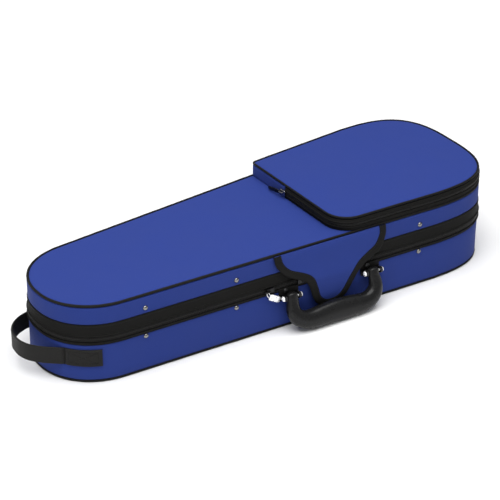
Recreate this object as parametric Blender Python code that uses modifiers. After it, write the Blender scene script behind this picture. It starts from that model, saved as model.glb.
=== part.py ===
"""Dart-shaped violin case: a zipped clamshell with a top pocket, front flap, handle and end loop.

Frame: metres, +Z up, +X towards the wide end, -Y towards the handle side. The origin is on the
underside, at the middle of the shell's length. Every piece is one object, named as a person would.
"""

import math

import bmesh
import bpy
from mathutils import Matrix, Vector
from mathutils.geometry import convex_hull_2d

# Driving dimensions, in metres.
CASE_LENGTH = 0.600
NARROW_REACH, NARROW_HALF, NARROW_POWER = 0.079, 0.0735, 2.14
WIDE_REACH, WIDE_HALF, WIDE_POWER = 0.101, 0.1007, 2.96
END_STEPS = 20
LID_TOP = 0.1017
POCKET_TOP = 0.1203
SEAM = 0.0575
GAP = 0.0003

# Walls, as insets from the outline: fabric skin, board, locating lip and plush lining.
SKIN = 0.0012
BOARD_INSET, BOARD = 0.0015, 0.0035
LIP_INSET, LIP = 0.0056, 0.0012
LINING_INSET, LINING = 0.0085, 0.0015
PIPING = 0.0015
PANEL = 0.0030

# Zip band round the front and both ends.
BAND_LOW, BAND_HIGH = 0.0495, 0.0765
TAPE_PROUD, COIL_PROUD, COIL_HALF = 0.0006, 0.0014, 0.0035
LID_HINGE_OUT = 0.0016

# Front wall: distances along it are from the middle of the handle, which is at this X.
HANDLE_X = 0.0436
RIVET_ALONG = (-0.2461, -0.1269, 0.1292)
RIVET_LOW, RIVET_HIGH, RIVET_RADIUS = 0.0463, 0.0835, 0.0030

# Handle, hanging from two brackets.
POST_ALONG = 0.057
PIVOT_OUT, PIVOT_Z = 0.0100, 0.0448
HANDLE_DROOP = math.radians(74.0)
PIN_RADIUS, PIN_HOLE = 0.0014, 0.0017
EAR_NEAR, EAR_FAR, EAR_HALF = 0.0083, 0.0113, 0.0040
PATCH_HALF, PATCH_LOW, PATCH_HIGH = 0.0130, 0.0390, 0.0537
PATCH_OUT = (0.0009, 0.0024)
PATCH_RIVET = (-0.0045, 0.0511)

# Front flap: an upper leaf sewn under the lid's edge and a tongue below the fold.
FLAP_TOP = (0.0006, 0.0992)
FOLD = (0.0082, 0.0541)
TIP = (0.0047, 0.0167)
FLAP_THICK = 0.0020
FOLD_GAP = 0.0003

# Top pocket over the wide end, zipped from its left wall round the front.
POCKET_LEFT = 0.057
POCKET_INSET = 0.0010
POCKET_LOW = 0.1023
POCKET_FOLD_Y = 0.018
POCKET_FRONT_RADIUS, POCKET_REAR_RADIUS = 0.030, 0.005
POCKET_PIPING = 0.0012

# Strap loop on the narrow end.
LOOP_LOW, LOOP_HIGH, LOOP_THICK = 0.0220, 0.0440, 0.0020
LOOP_POINTS = (
    (-0.2975, -0.0360), (-0.3080, -0.0270), (-0.3190, -0.0140), (-0.3235, -0.0030), (-0.3245, 0.0080),
    (-0.3215, 0.0240), (-0.3130, 0.0370), (-0.3020, 0.0455), (-0.2910, 0.0500),
)

# Interior.
BLOCK_INSET, BLOCK_LOW = 0.0108, 0.0089
CUSHION_LEFT, CUSHION_TOP, RECESS_FLOOR = -0.020, 0.0520, 0.0140
CRADLE = (-0.098, -0.062)
CRADLE_TOP, NOTCH_LOW, NOTCH_HALF = 0.0480, 0.0220, 0.0200
BOX_RIGHT, BOX_DIVIDER, BOX_TOP, BOX_WALL = -0.205, -0.247, 0.0460, 0.0025
SPINNER_AT = (0.225, 0.048)
HOLDER_AT = -0.202

# Colour, roughness and metallic value of each kind of surface.
LOOKS = {
    "blue_fabric": ((0.040, 0.062, 0.300), 0.85, 0.0),
    "black_fabric": ((0.016, 0.016, 0.015), 0.80, 0.0),
    "black_plastic": ((0.022, 0.022, 0.022), 0.45, 0.0),
    "black_strap": ((0.018, 0.018, 0.018), 0.55, 0.0),
    "board": ((0.120, 0.100, 0.080), 0.80, 0.0),
    "plush": ((0.028, 0.036, 0.120), 0.95, 0.0),
    "chrome": ((0.750, 0.750, 0.760), 0.18, 1.0),
    "nickel": ((0.520, 0.510, 0.480), 0.35, 1.0),
}


def collection(name, hidden=False):
    made = bpy.data.collections.new(name)
    bpy.context.scene.collection.children.link(made)
    made.hide_render = hidden
    return made


def clear_scene():
    for item in list(bpy.data.objects):
        bpy.data.objects.remove(item, do_unlink=True)


def material(name, look):
    colour, roughness, metallic = LOOKS[look]
    made = bpy.data.materials.new(name)
    made.use_nodes = True
    shader = made.node_tree.nodes["Principled BSDF"]
    shader.inputs["Base Color"].default_value = (*colour, 1.0)
    shader.inputs["Roughness"].default_value = roughness
    shader.inputs["Metallic"].default_value = metallic
    return made


def add(name, data, look, matrix=None):
    """Puts a mesh or curve in the case's collection, with its own material."""
    obj = bpy.data.objects.new(name, data)
    data.materials.append(material(f"{name}_{look}", look))
    PARTS.objects.link(obj)
    obj.matrix_world = matrix or Matrix.Identity(4)
    return obj


def cutter(name, data, matrix=None):
    obj = bpy.data.objects.new(name, data)
    CUTTERS.objects.link(obj)
    obj.matrix_world = matrix or Matrix.Identity(4)
    obj.hide_render = True
    obj.display_type = "WIRE"
    return obj


def finish(bm, name, smooth=False):
    mesh = bpy.data.meshes.new(name)
    bm.to_mesh(mesh)
    bm.free()
    if smooth:
        mesh.shade_smooth()
        mesh.set_sharp_from_angle(angle=math.radians(35))
    return mesh


def pivot(name, matrix):
    """An empty on a joint's axis, which that joint's pieces hang on."""
    empty = bpy.data.objects.new(name, None)
    empty.empty_display_size = 0.01
    PARTS.objects.link(empty)
    empty.matrix_world = matrix
    return empty


def hang(parent, *objects):
    for obj in objects:
        obj.parent = parent
        obj.matrix_parent_inverse = parent.matrix_world.inverted()


def boolean(obj, other, operation="DIFFERENCE"):
    modifier = obj.modifiers.new(operation.lower(), "BOOLEAN")
    modifier.operation = operation
    modifier.object = other


def solidify(obj, thickness):
    """Thickens an open surface on the side away from its normals."""
    modifier = obj.modifiers.new("thickness", "SOLIDIFY")
    modifier.thickness = thickness
    modifier.offset = -1.0
    modifier.use_even_offset = True
    modifier.use_quality_normals = True


def bevel(obj, width, segments=2):
    modifier = obj.modifiers.new("rounding", "BEVEL")
    modifier.width = width
    modifier.segments = segments
    modifier.limit_method = "ANGLE"
    modifier.angle_limit = math.radians(50)


# Outlines, as counter-clockwise rings of 2D points.


def rounded_end(centre_x, reach, half_width, power, facing):
    """Half of a superellipse, bulging towards facing."""
    points = []
    for step in range(END_STEPS + 1):
        angle = math.pi * (step / END_STEPS - 0.5)
        x = centre_x + facing * reach * abs(math.cos(angle)) ** (2 / power)
        y = half_width * math.copysign(abs(math.sin(angle)) ** (2 / power), angle)
        points.append(Vector((x, y)))
    return points


def case_outline():
    """The hull of the two rounded ends, so its flanks are straight."""
    narrow_x = NARROW_REACH - CASE_LENGTH / 2
    wide_x = CASE_LENGTH / 2 - WIDE_REACH
    ends = rounded_end(narrow_x, NARROW_REACH, NARROW_HALF, NARROW_POWER, -1)
    ends += rounded_end(wide_x, WIDE_REACH, WIDE_HALF, WIDE_POWER, 1)
    return [ends[i] for i in convex_hull_2d(ends)]


def inset_ring(ring, inset):
    """The ring moved inwards by inset, with its straight runs still parallel."""
    moved = []
    for before, here, after in zip(ring[-1:] + ring[:-1], ring, ring[1:] + ring[:1]):
        first = (here - before).normalized()
        second = (after - here).normalized()
        inward_a = Vector((-first.y, first.x))
        inward_b = Vector((-second.y, second.x))
        moved.append(here + (inward_a + inward_b) * inset / (1 + inward_a.dot(inward_b)))
    return moved


def fillet(before, corner, after, radius, steps):
    """Points of the arc that rounds a corner."""
    back = (before - corner).normalized()
    forward = (after - corner).normalized()
    half = back.angle(forward) / 2
    centre = corner + (back + forward).normalized() * radius / math.sin(half)
    start = corner + back * radius / math.tan(half) - centre
    sweep = math.pi - 2 * half
    return [centre + Matrix.Rotation(sweep * i / steps, 2) @ start for i in range(steps + 1)]


def crossing(a, b, x):
    return a.lerp(b, (x - a.x) / (b.x - a.x))


def beyond_x(ring, x):
    """The part of a convex ring at larger X, starting at the upper crossing."""
    clipped = []
    for here, after in zip(ring, ring[1:] + ring[:1]):
        if here.x >= x:
            clipped.append(here)
        if (here.x >= x) != (after.x >= x):
            clipped.append(crossing(here, after, x))
    if all(point.x >= x for point in ring):
        return ring
    edge = [point for point in clipped if abs(point.x - x) < 1e-6]
    start = clipped.index(max(edge, key=lambda point: point.y))
    return clipped[start:] + clipped[:start]


def pocket_outline():
    """The case's outline beyond the pocket's left wall, with that wall's corners rounded."""
    ring = beyond_x(inset_ring(OUTLINE, POCKET_INSET), POCKET_LEFT)
    rear = fillet(ring[-1], ring[0], ring[1], POCKET_REAR_RADIUS, 3)
    front = fillet(ring[0], ring[1], ring[2], POCKET_FRONT_RADIUS, 7)
    return rear + front + ring[2:]


def smooth(points, steps):
    """A Catmull-Rom curve through the points."""
    ends = [points[0] * 2 - points[1]] + points + [points[-1] * 2 - points[-2]]
    curve = []
    for a, b, c, d in zip(ends, ends[1:], ends[2:], ends[3:]):
        for step in range(steps):
            t = step / steps
            curve.append(
                b + (c - a) * (t / 2) + (a * 2 - b * 5 + c * 4 - d) * (t * t / 2)
                + (b * 3 - a - c * 3 + d) * (t * t * t / 2)
            )
    return curve + [points[-1]]


# Surfaces and solids.


def cut_away(bm, cuts):
    """Removes what lies on the side of each plane that its normal points to."""
    for point, normal in cuts:
        everything = bm.verts[:] + bm.edges[:] + bm.faces[:]
        bmesh.ops.bisect_plane(
            bm, geom=everything, plane_co=point, plane_no=normal, clear_outer=True, dist=1e-7
        )


def add_walls(bm, rings, closed=True):
    """Faces between rings listed upwards, which face outwards on counter-clockwise rings."""
    rows = [[bm.verts.new(point) for point in ring] for ring in rings]
    last = len(rows[0]) if closed else len(rows[0]) - 1
    for low, high in zip(rows, rows[1:]):
        for i in range(last):
            j = (i + 1) % len(low)
            bm.faces.new((low[i], low[j], high[j], high[i]))
    return rows


def at_height(ring, z):
    return [Vector((point.x, point.y, z)) for point in ring]


def tray(name, inset, face_z, rim_z, thickness, look):
    """An open tray on the case's outline: a face at face_z and a wall to rim_z."""
    ring = inset_ring(OUTLINE, inset)
    bm = bmesh.new()
    rows = add_walls(bm, [at_height(ring, z) for z in sorted((face_z, rim_z))])
    bm.faces.new(rows[1] if face_z > rim_z else rows[0][::-1])
    obj = add(name, finish(bm, name), look)
    solidify(obj, thickness)
    return obj


def panel(name, ring, low, high, look, cuts=()):
    """A flat plate with the ring's outline."""
    bm = bmesh.new()
    bm.faces.new([bm.verts.new(point) for point in at_height(ring, high)])
    cut_away(bm, cuts)
    obj = add(name, finish(bm, name), look)
    solidify(obj, high - low)
    return obj


def band(name, ring, low, high, thickness, look, cuts=(), drop_rear=False, closed=True):
    """An upright strip along the ring, with its outer face on it."""
    bm = bmesh.new()
    add_walls(bm, [at_height(ring, low), at_height(ring, high)], closed)
    if drop_rear:
        longest = sorted(bm.faces, key=lambda face: face.calc_area())[-2:]
        rear = max(longest, key=lambda face: face.calc_center_median().y)
        bmesh.ops.delete(bm, geom=[rear], context="FACES")
    cut_away(bm, cuts)
    obj = add(name, finish(bm, name), look)
    solidify(obj, thickness)
    return obj


def tube(name, points, radius, look, cyclic=True):
    """A round cord along the points."""
    curve = bpy.data.curves.new(name, "CURVE")
    curve.dimensions = "3D"
    curve.bevel_depth = radius
    curve.bevel_resolution = 1
    curve.use_fill_caps = not cyclic
    spline = curve.splines.new("POLY")
    spline.points.add(len(points) - 1)
    for slot, point in zip(spline.points, points):
        slot.co = (*point, 1.0)
    spline.use_cyclic_u = cyclic
    return add(name, curve, look)


def block_mesh(name, low, high):
    """A box from its lowest to its highest corner."""
    bm = bmesh.new()
    bmesh.ops.create_cube(bm, size=1.0)
    low, high = Vector(low), Vector(high)
    bmesh.ops.scale(bm, vec=high - low, verts=bm.verts)
    bmesh.ops.translate(bm, vec=(low + high) / 2, verts=bm.verts)
    return finish(bm, name)


def turned(name, profile, look, matrix, steps=12):
    """A solid of revolution about its own Z, from (radius, z) pairs listed from the top down."""
    bm = bmesh.new()
    points = [bm.verts.new((radius, 0.0, z)) for radius, z in profile]
    for upper, lower in zip(points, points[1:]):
        bm.edges.new((upper, lower))
    obj = add(name, finish(bm, name), look, matrix)
    modifier = obj.modifiers.new("turn", "SCREW")
    modifier.axis = "Z"
    modifier.steps = steps
    modifier.render_steps = steps
    modifier.use_merge_vertices = True
    modifier.merge_threshold = 1e-6
    modifier.use_smooth_shade = True
    return obj


def rod_mesh(name, radius, start, end, sides=12):
    """A cylinder between two points."""
    bm = bmesh.new()
    start, end = Vector(start), Vector(end)
    bmesh.ops.create_cone(
        bm, cap_ends=True, segments=sides, radius1=radius, radius2=radius, depth=(end - start).length
    )
    turn = Vector((0, 0, 1)).rotation_difference(end - start).to_matrix().to_4x4()
    bmesh.ops.transform(bm, matrix=Matrix.Translation((start + end) / 2) @ turn, verts=bm.verts)
    return finish(bm, name, smooth=True)


def plate(name, outline, thickness, look, matrix):
    """A plate in its own XY plane, with its outer face at z = 0 and its thickness below."""
    bm = bmesh.new()
    bm.faces.new([bm.verts.new((x, y, 0.0)) for x, y in outline])
    bmesh.ops.recalc_face_normals(bm, faces=bm.faces)
    if bm.faces[:][0].normal.z < 0:
        bmesh.ops.reverse_faces(bm, faces=bm.faces)
    obj = add(name, finish(bm, name), look, matrix)
    solidify(obj, thickness)
    return obj


def pill(length, width, steps=4):
    """An outline with round ends, from x = 0 to length."""
    radius = width / 2
    points = []
    for centre, first in ((length - radius, -90), (radius, 90)):
        for step in range(steps + 1):
            angle = math.radians(first + 180 * step / steps)
            points.append((centre + radius * math.cos(angle), radius * math.sin(angle)))
    return points


# Frames on the case's straight walls: X along the wall, outwards on one side, Z up.


def flank(side):
    """The ends of the straight run on the front (side -1) or the rear (side 1), by rising X."""
    pairs = zip(OUTLINE, OUTLINE[1:] + OUTLINE[:1])
    longest = sorted(pairs, key=lambda pair: (pair[1] - pair[0]).length)[-2:]
    ends = max(longest, key=lambda pair: side * (pair[0] + pair[1]).y)
    return sorted(ends, key=lambda point: point.x)


def wall_frame(side):
    """A frame at the handle's X, with Y pointing into the case on the front and out at the rear."""
    low, high = flank(side)
    start = crossing(low, high, HANDLE_X)
    along = (high - low).normalized()
    turn = Matrix.Rotation(math.atan2(along.y, along.x), 4, "Z")
    return Matrix.Translation((start.x, start.y, 0.0)) @ turn


def on_front(along, out, z):
    """A point on the front wall as a placement matrix."""
    return FRONT @ Matrix.Translation((along, -out, z))


def facing_out(along, out, z):
    """A placement on the front wall whose Z points outwards, X along the wall and Y up."""
    return on_front(along, out, z) @ Matrix.Rotation(math.radians(90), 4, "X")


# The shell: base and lid.


def build_base():
    panel("base_bottom", inset_ring(OUTLINE, PANEL), 0.0, PANEL, "blue_fabric")
    ring = inset_ring(OUTLINE, PIPING - GAP)
    tube("base_piping", at_height(ring, PIPING), PIPING, "black_fabric")
    floor = PANEL + GAP
    shell = tray("base_shell", BOARD_INSET, floor, SEAM - GAP, BOARD, "board")
    cover = band("base_side_cover", OUTLINE, floor, BAND_LOW - GAP, SKIN, "blue_fabric")
    tray("base_lining", LINING_INSET, floor + BOARD + GAP, 0.0550, LINING, "plush")
    lip = front_lip("base_lip", 0.0420, SEAM + 0.0060)
    tape = zip_half("base", BAND_LOW, SEAM - COIL_HALF - GAP, SEAM - COIL_HALF, SEAM - GAP)
    gusset("base_gusset", BAND_LOW, SEAM - GAP)
    return shell, cover, lip, tape


def build_lid():
    top = panel("lid_top_cover", inset_ring(OUTLINE, PANEL), LID_TOP - PANEL, LID_TOP, "blue_fabric")
    ring = inset_ring(OUTLINE, PIPING - GAP)
    cord = tube("lid_piping", at_height(ring, LID_TOP + GAP - PIPING), PIPING, "black_fabric")
    ceiling = LID_TOP - PANEL - GAP
    shell = tray("lid_shell", BOARD_INSET, ceiling, SEAM + GAP, BOARD, "board")
    cover = band("lid_side_cover", OUTLINE, BAND_HIGH + GAP, ceiling, SKIN, "blue_fabric")
    lining = tray("lid_lining", LINING_INSET, ceiling - BOARD - GAP, 0.0600, LINING, "plush")
    lip = front_lip("lid_lip", 0.0680, 0.0880)
    tape = zip_half("lid", SEAM + COIL_HALF + GAP, BAND_HIGH, SEAM + GAP, SEAM + COIL_HALF)
    strip = gusset("lid_gusset", SEAM + GAP, BAND_HIGH)
    coil = bpy.data.objects["lid_zip_coil"]
    hang(LID_PIVOT, top, cord, shell, cover, lining, lip, tape, strip, coil)
    return shell, cover, lip


def front_lip(name, low, high):
    """A stiff strip inside the front wall that keeps lid and base in line."""
    corners = (-0.256, LIP_INSET, low), (0.140, LIP_INSET + LIP, high)
    return add(name, block_mesh(name, *corners), "black_plastic", FRONT)


def zip_half(side, tape_low, tape_high, coil_low, coil_high):
    """One side of the main zip: its tape, and half of the coil."""
    tape_ring = inset_ring(OUTLINE, -TAPE_PROUD)
    coil_ring = inset_ring(OUTLINE, -COIL_PROUD)
    name = f"{side}_zip_tape"
    tape = band(name, tape_ring, tape_low, tape_high, 0.0018, "black_fabric", drop_rear=True)
    name = f"{side}_zip_coil"
    band(name, coil_ring, coil_low, coil_high, 0.0026, "black_plastic", drop_rear=True)
    return tape


def gusset(name, low, high):
    """The fabric strip along the rear wall that the lid folds on."""
    start, end = flank(1)
    half = (end - start).length / 2 - 0.001
    middle = (start + end) / 2
    turn = REAR.to_3x3().to_4x4()
    frame = Matrix.Translation((middle.x, middle.y, 0.0)) @ turn
    corners = (-half, TAPE_PROUD - 0.0018, low), (half, TAPE_PROUD, high)
    return add(name, block_mesh(name, *corners), "black_fabric", frame)


def rivet(name, along, z, skin_out, tail_inset):
    """A domed rivet through the wall: head outside, shank, and a clenched tail inside."""
    head, tail, shank = RIVET_RADIUS, RIVET_RADIUS * 0.8, RIVET_RADIUS * 0.42
    top = skin_out + GAP
    profile = [
        (0.0, top + 0.0014),
        (head * 0.55, top + 0.0012),
        (head * 0.9, top + 0.0006),
        (head, top),
        (shank, top),
        (shank, -tail_inset),
        (tail, -tail_inset),
        (tail, -tail_inset - 0.0008),
        (0.0, -tail_inset - 0.0011),
    ]
    return turned(name, profile, "nickel", facing_out(along, 0.0, z), steps=10)


def build_rivets(base_skins, lid_skins):
    """Three pairs above and below the zip, and the holes they pass through."""
    tail_inset = LIP_INSET + LIP + GAP
    rows = (("base", RIVET_LOW, base_skins), ("lid", RIVET_HIGH, lid_skins))
    for side, z, skins in rows:
        for number, along in enumerate(RIVET_ALONG, start=1):
            made = rivet(f"{side}_rivet_{number}", along, z, 0.0, tail_inset)
            if side == "lid":
                hang(LID_PIVOT, made)
            hole = through_hole(f"{side}_rivet_hole_{number}", along, z)
            for skin in skins:
                boolean(skin, hole)


def through_hole(name, along, z, radius=0.0014):
    mesh = rod_mesh(name, radius, (0, 0, -0.0083), (0, 0, 0.004), sides=10)
    return cutter(name, mesh, facing_out(along, 0.0, z))


# The handle.


def build_handle(base_skins):
    """A moulded U grip that swings on a pin in each bracket."""
    axle = pivot("handle_axis", on_front(0.0, PIVOT_OUT, PIVOT_Z))
    grip = handle_grip()
    hang(axle, grip)
    for side, name in ((-1, "left"), (1, "right")):
        along = side * POST_ALONG
        bracket(f"handle_bracket_{name}", along)
        pin = handle_pin(f"handle_pin_{name}", along)
        hang(axle, pin)
        patch = block_mesh(
            f"handle_patch_{name}",
            (along - PATCH_HALF, -PATCH_OUT[1], PATCH_LOW),
            (along + PATCH_HALF, -PATCH_OUT[0], PATCH_HIGH),
        )
        patch = add(f"handle_patch_{name}", patch, "black_fabric", FRONT)
        rivet_along, rivet_z = along + PATCH_RIVET[0], PATCH_RIVET[1]
        tail_inset = LIP_INSET + LIP + GAP
        rivet(f"patch_rivet_{name}", rivet_along, rivet_z, PATCH_OUT[1], tail_inset)
        hole = through_hole(f"patch_rivet_hole_{name}", rivet_along, rivet_z)
        for skin in (patch, *base_skins):
            boolean(skin, hole)


def bracket(name, along):
    """A chrome back plate with two ears that hold the handle's pin."""
    back = PATCH_OUT[1] + GAP
    front = back + 0.0012
    half = EAR_FAR + 0.0020
    plate_low, plate_high = PIVOT_Z - 0.006, PIVOT_Z + 0.0016
    mesh = block_mesh(name, (-half, -front, plate_low), (half, -back, plate_high))
    placed = FRONT @ Matrix.Translation((along, 0, 0))
    obj = add(name, mesh, "chrome", placed)
    for side, ear in ((-1, "a"), (1, "b")):
        inner, outer = sorted((side * EAR_NEAR, side * EAR_FAR))
        boolean(obj, cutter(f"{name}_ear_{ear}", ear_mesh(inner, outer, back), placed), "UNION")
    hole = rod_mesh(f"{name}_hole", PIN_HOLE, (-half, 0, 0), (half, 0, 0))
    centre = placed @ Matrix.Translation((0, -PIVOT_OUT, PIVOT_Z))
    boolean(obj, cutter(f"{name}_hole", hole, centre))


def ear_mesh(left, right, back):
    """An ear from the back plate to a round end about the pin."""
    profile = [(-back - 0.0006, PIVOT_Z - 0.0035)]
    for step in range(7):
        angle = math.radians(-90 + 30 * step)
        out = PIVOT_OUT + EAR_HALF * math.cos(angle)
        profile.append((-out, PIVOT_Z + EAR_HALF * math.sin(angle)))
    profile.append((-back - 0.0006, PIVOT_Z + 0.0012))
    bm = bmesh.new()
    face = bm.faces.new([bm.verts.new((left, y, z)) for y, z in profile])
    extruded = bmesh.ops.extrude_face_region(bm, geom=[face], use_keep_orig=True)
    moved = [item for item in extruded["geom"] if isinstance(item, bmesh.types.BMVert)]
    bmesh.ops.translate(bm, vec=(right - left, 0, 0), verts=moved)
    bmesh.ops.recalc_face_normals(bm, faces=bm.faces)
    return finish(bm, "ear")


def handle_pin(name, along):
    """A pin with a head outside each ear."""
    reach = EAR_FAR + GAP
    profile = [
        (0.0, reach + 0.0016),
        (0.0020, reach + 0.0013),
        (0.0030, reach + 0.0004),
        (0.0030, reach),
        (PIN_RADIUS, reach),
    ]
    profile += [(radius, -z) for radius, z in reversed(profile)]
    turn = Matrix.Rotation(math.radians(90), 4, "Y")
    return turned(name, profile, "chrome", on_front(along, PIVOT_OUT, PIVOT_Z) @ turn)


def handle_grip():
    """Half of the grip as a loft of ellipses, mirrored about its middle."""
    stations = [
        # (along, reach, half thickness in the U's plane, half thickness across it)
        (0.0570, -0.0050, 0.0050, 0.0035),
        (0.0570, -0.0032, 0.0070, 0.0050),
        (0.0570, 0.0050, 0.0074, 0.0055),
        (0.0580, 0.0115, 0.0086, 0.0062),
        (0.0570, 0.0185, 0.0104, 0.0074),
        (0.0515, 0.0252, 0.0120, 0.0085),
        (0.0425, 0.0296, 0.0130, 0.0092),
        (0.0300, 0.0319, 0.0135, 0.0095),
        (0.0150, 0.0324, 0.0135, 0.0095),
        (0.0000, 0.0324, 0.0135, 0.0095),
    ]
    bm = bmesh.new()
    rows = []
    for index, (along, reach, wide, thick) in enumerate(stations):
        before = Vector(stations[max(index - 1, 0)][:2])
        after = Vector(stations[min(index + 1, len(stations) - 1)][:2])
        run = (after - before).normalized() if 0 < index < len(stations) - 1 else None
        run = run or (Vector((0, 1)) if index == 0 else Vector((-1, 0)))
        rows.append(grip_ring(bm, Vector((along, reach)), Vector((run.y, -run.x)), wide, thick))
    for first, second in zip(rows, rows[1:]):
        for i in range(len(first)):
            j = (i + 1) % len(first)
            bm.faces.new((first[i], first[j], second[j], second[i]))
    bm.faces.new(rows[0])
    bmesh.ops.recalc_face_normals(bm, faces=bm.faces)
    droop = Matrix.Rotation(HANDLE_DROOP, 4, "X")
    mesh = finish(bm, "handle_grip", smooth=True)
    obj = add("handle_grip", mesh, "black_plastic", handle_frame() @ droop)
    mirror = obj.modifiers.new("other_half", "MIRROR")
    mirror.merge_threshold = 1e-5
    hole = rod_mesh("grip_pin_hole", PIN_HOLE, (-0.075, 0, 0), (0.075, 0, 0))
    boolean(obj, cutter("grip_pin_hole", hole, handle_frame()))
    return obj


def handle_frame():
    return on_front(0.0, PIVOT_OUT, PIVOT_Z)


def grip_ring(bm, centre, across, wide, thick, sides=12):
    """An elliptical section in the plane of across and the handle's normal."""
    ring = []
    for step in range(sides):
        angle = 2 * math.pi * step / sides
        spot = centre + across * (wide * math.cos(angle))
        ring.append(bm.verts.new((spot.x, -spot.y, thick * math.sin(angle))))
    return ring


# The front flap.


def flap_outline(points):
    """The flap's outline from (half width, drop) pairs down one side, mirrored."""
    return points + [(-half, drop) for half, drop in reversed(points) if half > 1e-6]


def leaf(name, top, bottom, outline, look, thickness=FLAP_THICK, stand=0.0):
    """A plate hanging from top to bottom, both (out, z), with its inner face on that line."""
    tilt = math.atan2(bottom[0] - top[0], top[1] - bottom[1])
    turn = Matrix.Rotation(math.radians(90) - tilt, 4, "X")
    lift = Matrix.Translation((0, 0, thickness + stand))
    flipped = [(half, -drop) for half, drop in outline]
    return plate(name, flipped, thickness, look, on_front(0.0, *top) @ turn @ lift)


def build_flap():
    """The upper leaf turns on the lid's edge; the tongue folds on the leaf's lower edge."""
    upper_axis = pivot("flap_axis", on_front(0.0, *FLAP_TOP))
    fold_axis = pivot("tongue_axis", on_front(0.0, *FOLD))
    upper_drop = math.dist(FLAP_TOP, FOLD) - FOLD_GAP
    upper = [(0.0780, 0.0006), (0.0770, 0.008), (0.0745, 0.016), (0.0705, 0.024)]
    upper += [(0.0650, 0.0305), (0.0565, 0.0365), (0.0475, 0.0415), (0.0400, upper_drop)]
    above = FOLD[0] + 0.0003, FOLD[1]
    flap = leaf("front_flap", FLAP_TOP, above, flap_outline(upper), "blue_fabric")
    tongue_drop = math.dist(FOLD, TIP)
    sides = [Vector((0.0390, FOLD_GAP)), Vector((0.0335, 0.0060)), Vector((0.0290, 0.0120))]
    sides += [Vector((0.0265, 0.0180)), Vector((0.0245, 0.0240)), Vector((0.0200, 0.0300))]
    sides += [Vector((0.0120, 0.0350)), Vector((0.0000, tongue_drop))]
    outline = flap_outline([tuple(point) for point in smooth(sides, 2)])
    tongue = leaf("flap_tongue", FOLD, TIP, outline, "blue_fabric", stand=GAP)
    square = flap_outline([(0.0150, 0.0170), (0.0150, 0.0310)])
    hook = leaf("hook_patch", FOLD, TIP, square, "black_fabric", 0.0015, -0.0018)
    hang(LID_PIVOT, upper_axis)
    hang(upper_axis, flap, fold_axis)
    hang(fold_axis, tongue, hook)
    corners = (-0.0170, -0.0023, 0.0210), (0.0170, -GAP, 0.0390)
    add("loop_patch", block_mesh("loop_patch", *corners), "black_fabric", FRONT)


# Zip sliders and their pulls.


def slider(name, matrix, direction, length=0.0110, lug_at=0.0):
    """A slider in its own XY plane, with its back at z = 0 and a stud for the pull on its face."""
    half_width = 0.0034
    low = (-length / 2, -half_width, 0.0)
    high = (length / 2, half_width, 0.0028)
    obj = add(name, block_mesh(name, low, high), "black_plastic", matrix)
    bevel(obj, 0.0008, 1)
    stud = rod_mesh(f"{name}_stud", 0.0010, (lug_at, direction, 0.0015), (lug_at, direction, 0.0050))
    boolean(obj, cutter(f"{name}_stud", stud, matrix), "UNION")
    return obj


def pull(name, matrix, angle, length, width, look):
    """A flat pull with a hole at its origin, swung by angle in its plane."""
    turn = Matrix.Rotation(math.radians(angle), 4, "Z")
    back_off = Matrix.Translation((-width / 2, 0, 0.0014))
    obj = plate(name, pill(length, width), 0.0014, look, matrix @ turn @ back_off)
    hole = rod_mesh(f"{name}_hole", 0.0013, (0, 0, -0.003), (0, 0, 0.003))
    boolean(obj, cutter(f"{name}_hole", hole, matrix))
    return obj


def build_main_sliders():
    """Two sliders that part the zip from the middle of the front wall."""
    face = COIL_PROUD + GAP
    rest = (
        ("left", -0.0830, -0.0045, -0.0035, -42.0, 0.0250, 0.0080),
        ("right", -0.0400, 0.0040, 0.0, 0.0, 0.0215, 0.0060),
    )
    for name, along, lug, drop, angle, length, width in rest:
        place = facing_out(along, face, SEAM)
        body = slider(f"zip_slider_{name}", place, drop * 0.7, lug_at=lug)
        carrier = pivot(f"slider_{name}_path", place)
        stud = place @ Matrix.Translation((lug, drop * 0.7, 0.0031))
        swing = pivot(f"pull_{name}_axis", stud)
        tab = pull(f"zip_pull_{name}", stud, angle, length, width, "chrome")
        hang(carrier, body, swing)
        hang(swing, tab)


def build_pocket_slider():
    """The pocket's slider at the start of its zip, on the left wall."""
    wall = POCKET_LEFT - COIL_PROUD + TAPE_PROUD - GAP
    start = Matrix.Translation((wall, POCKET_FOLD_Y + 0.002, POCKET_MIDDLE))
    frame = start @ Matrix(((0, 0, -1, 0), (-1, 0, 0, 0), (0, 1, 0, 0), (0, 0, 0, 1)))
    body = slider("pocket_slider", frame, 0.0, length=0.0090, lug_at=-0.0030)
    stud = frame @ Matrix.Translation((-0.0030, 0.0, 0.0031))
    tab = pull("pocket_pull", stud, 191.0, 0.0280, 0.0050, "black_plastic")
    carrier = pivot("pocket_slider_path", frame)
    swing = pivot("pocket_pull_axis", stud)
    hang(LID_PIVOT, carrier)
    hang(carrier, body, swing)
    hang(swing, tab)


# The pocket.


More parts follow.
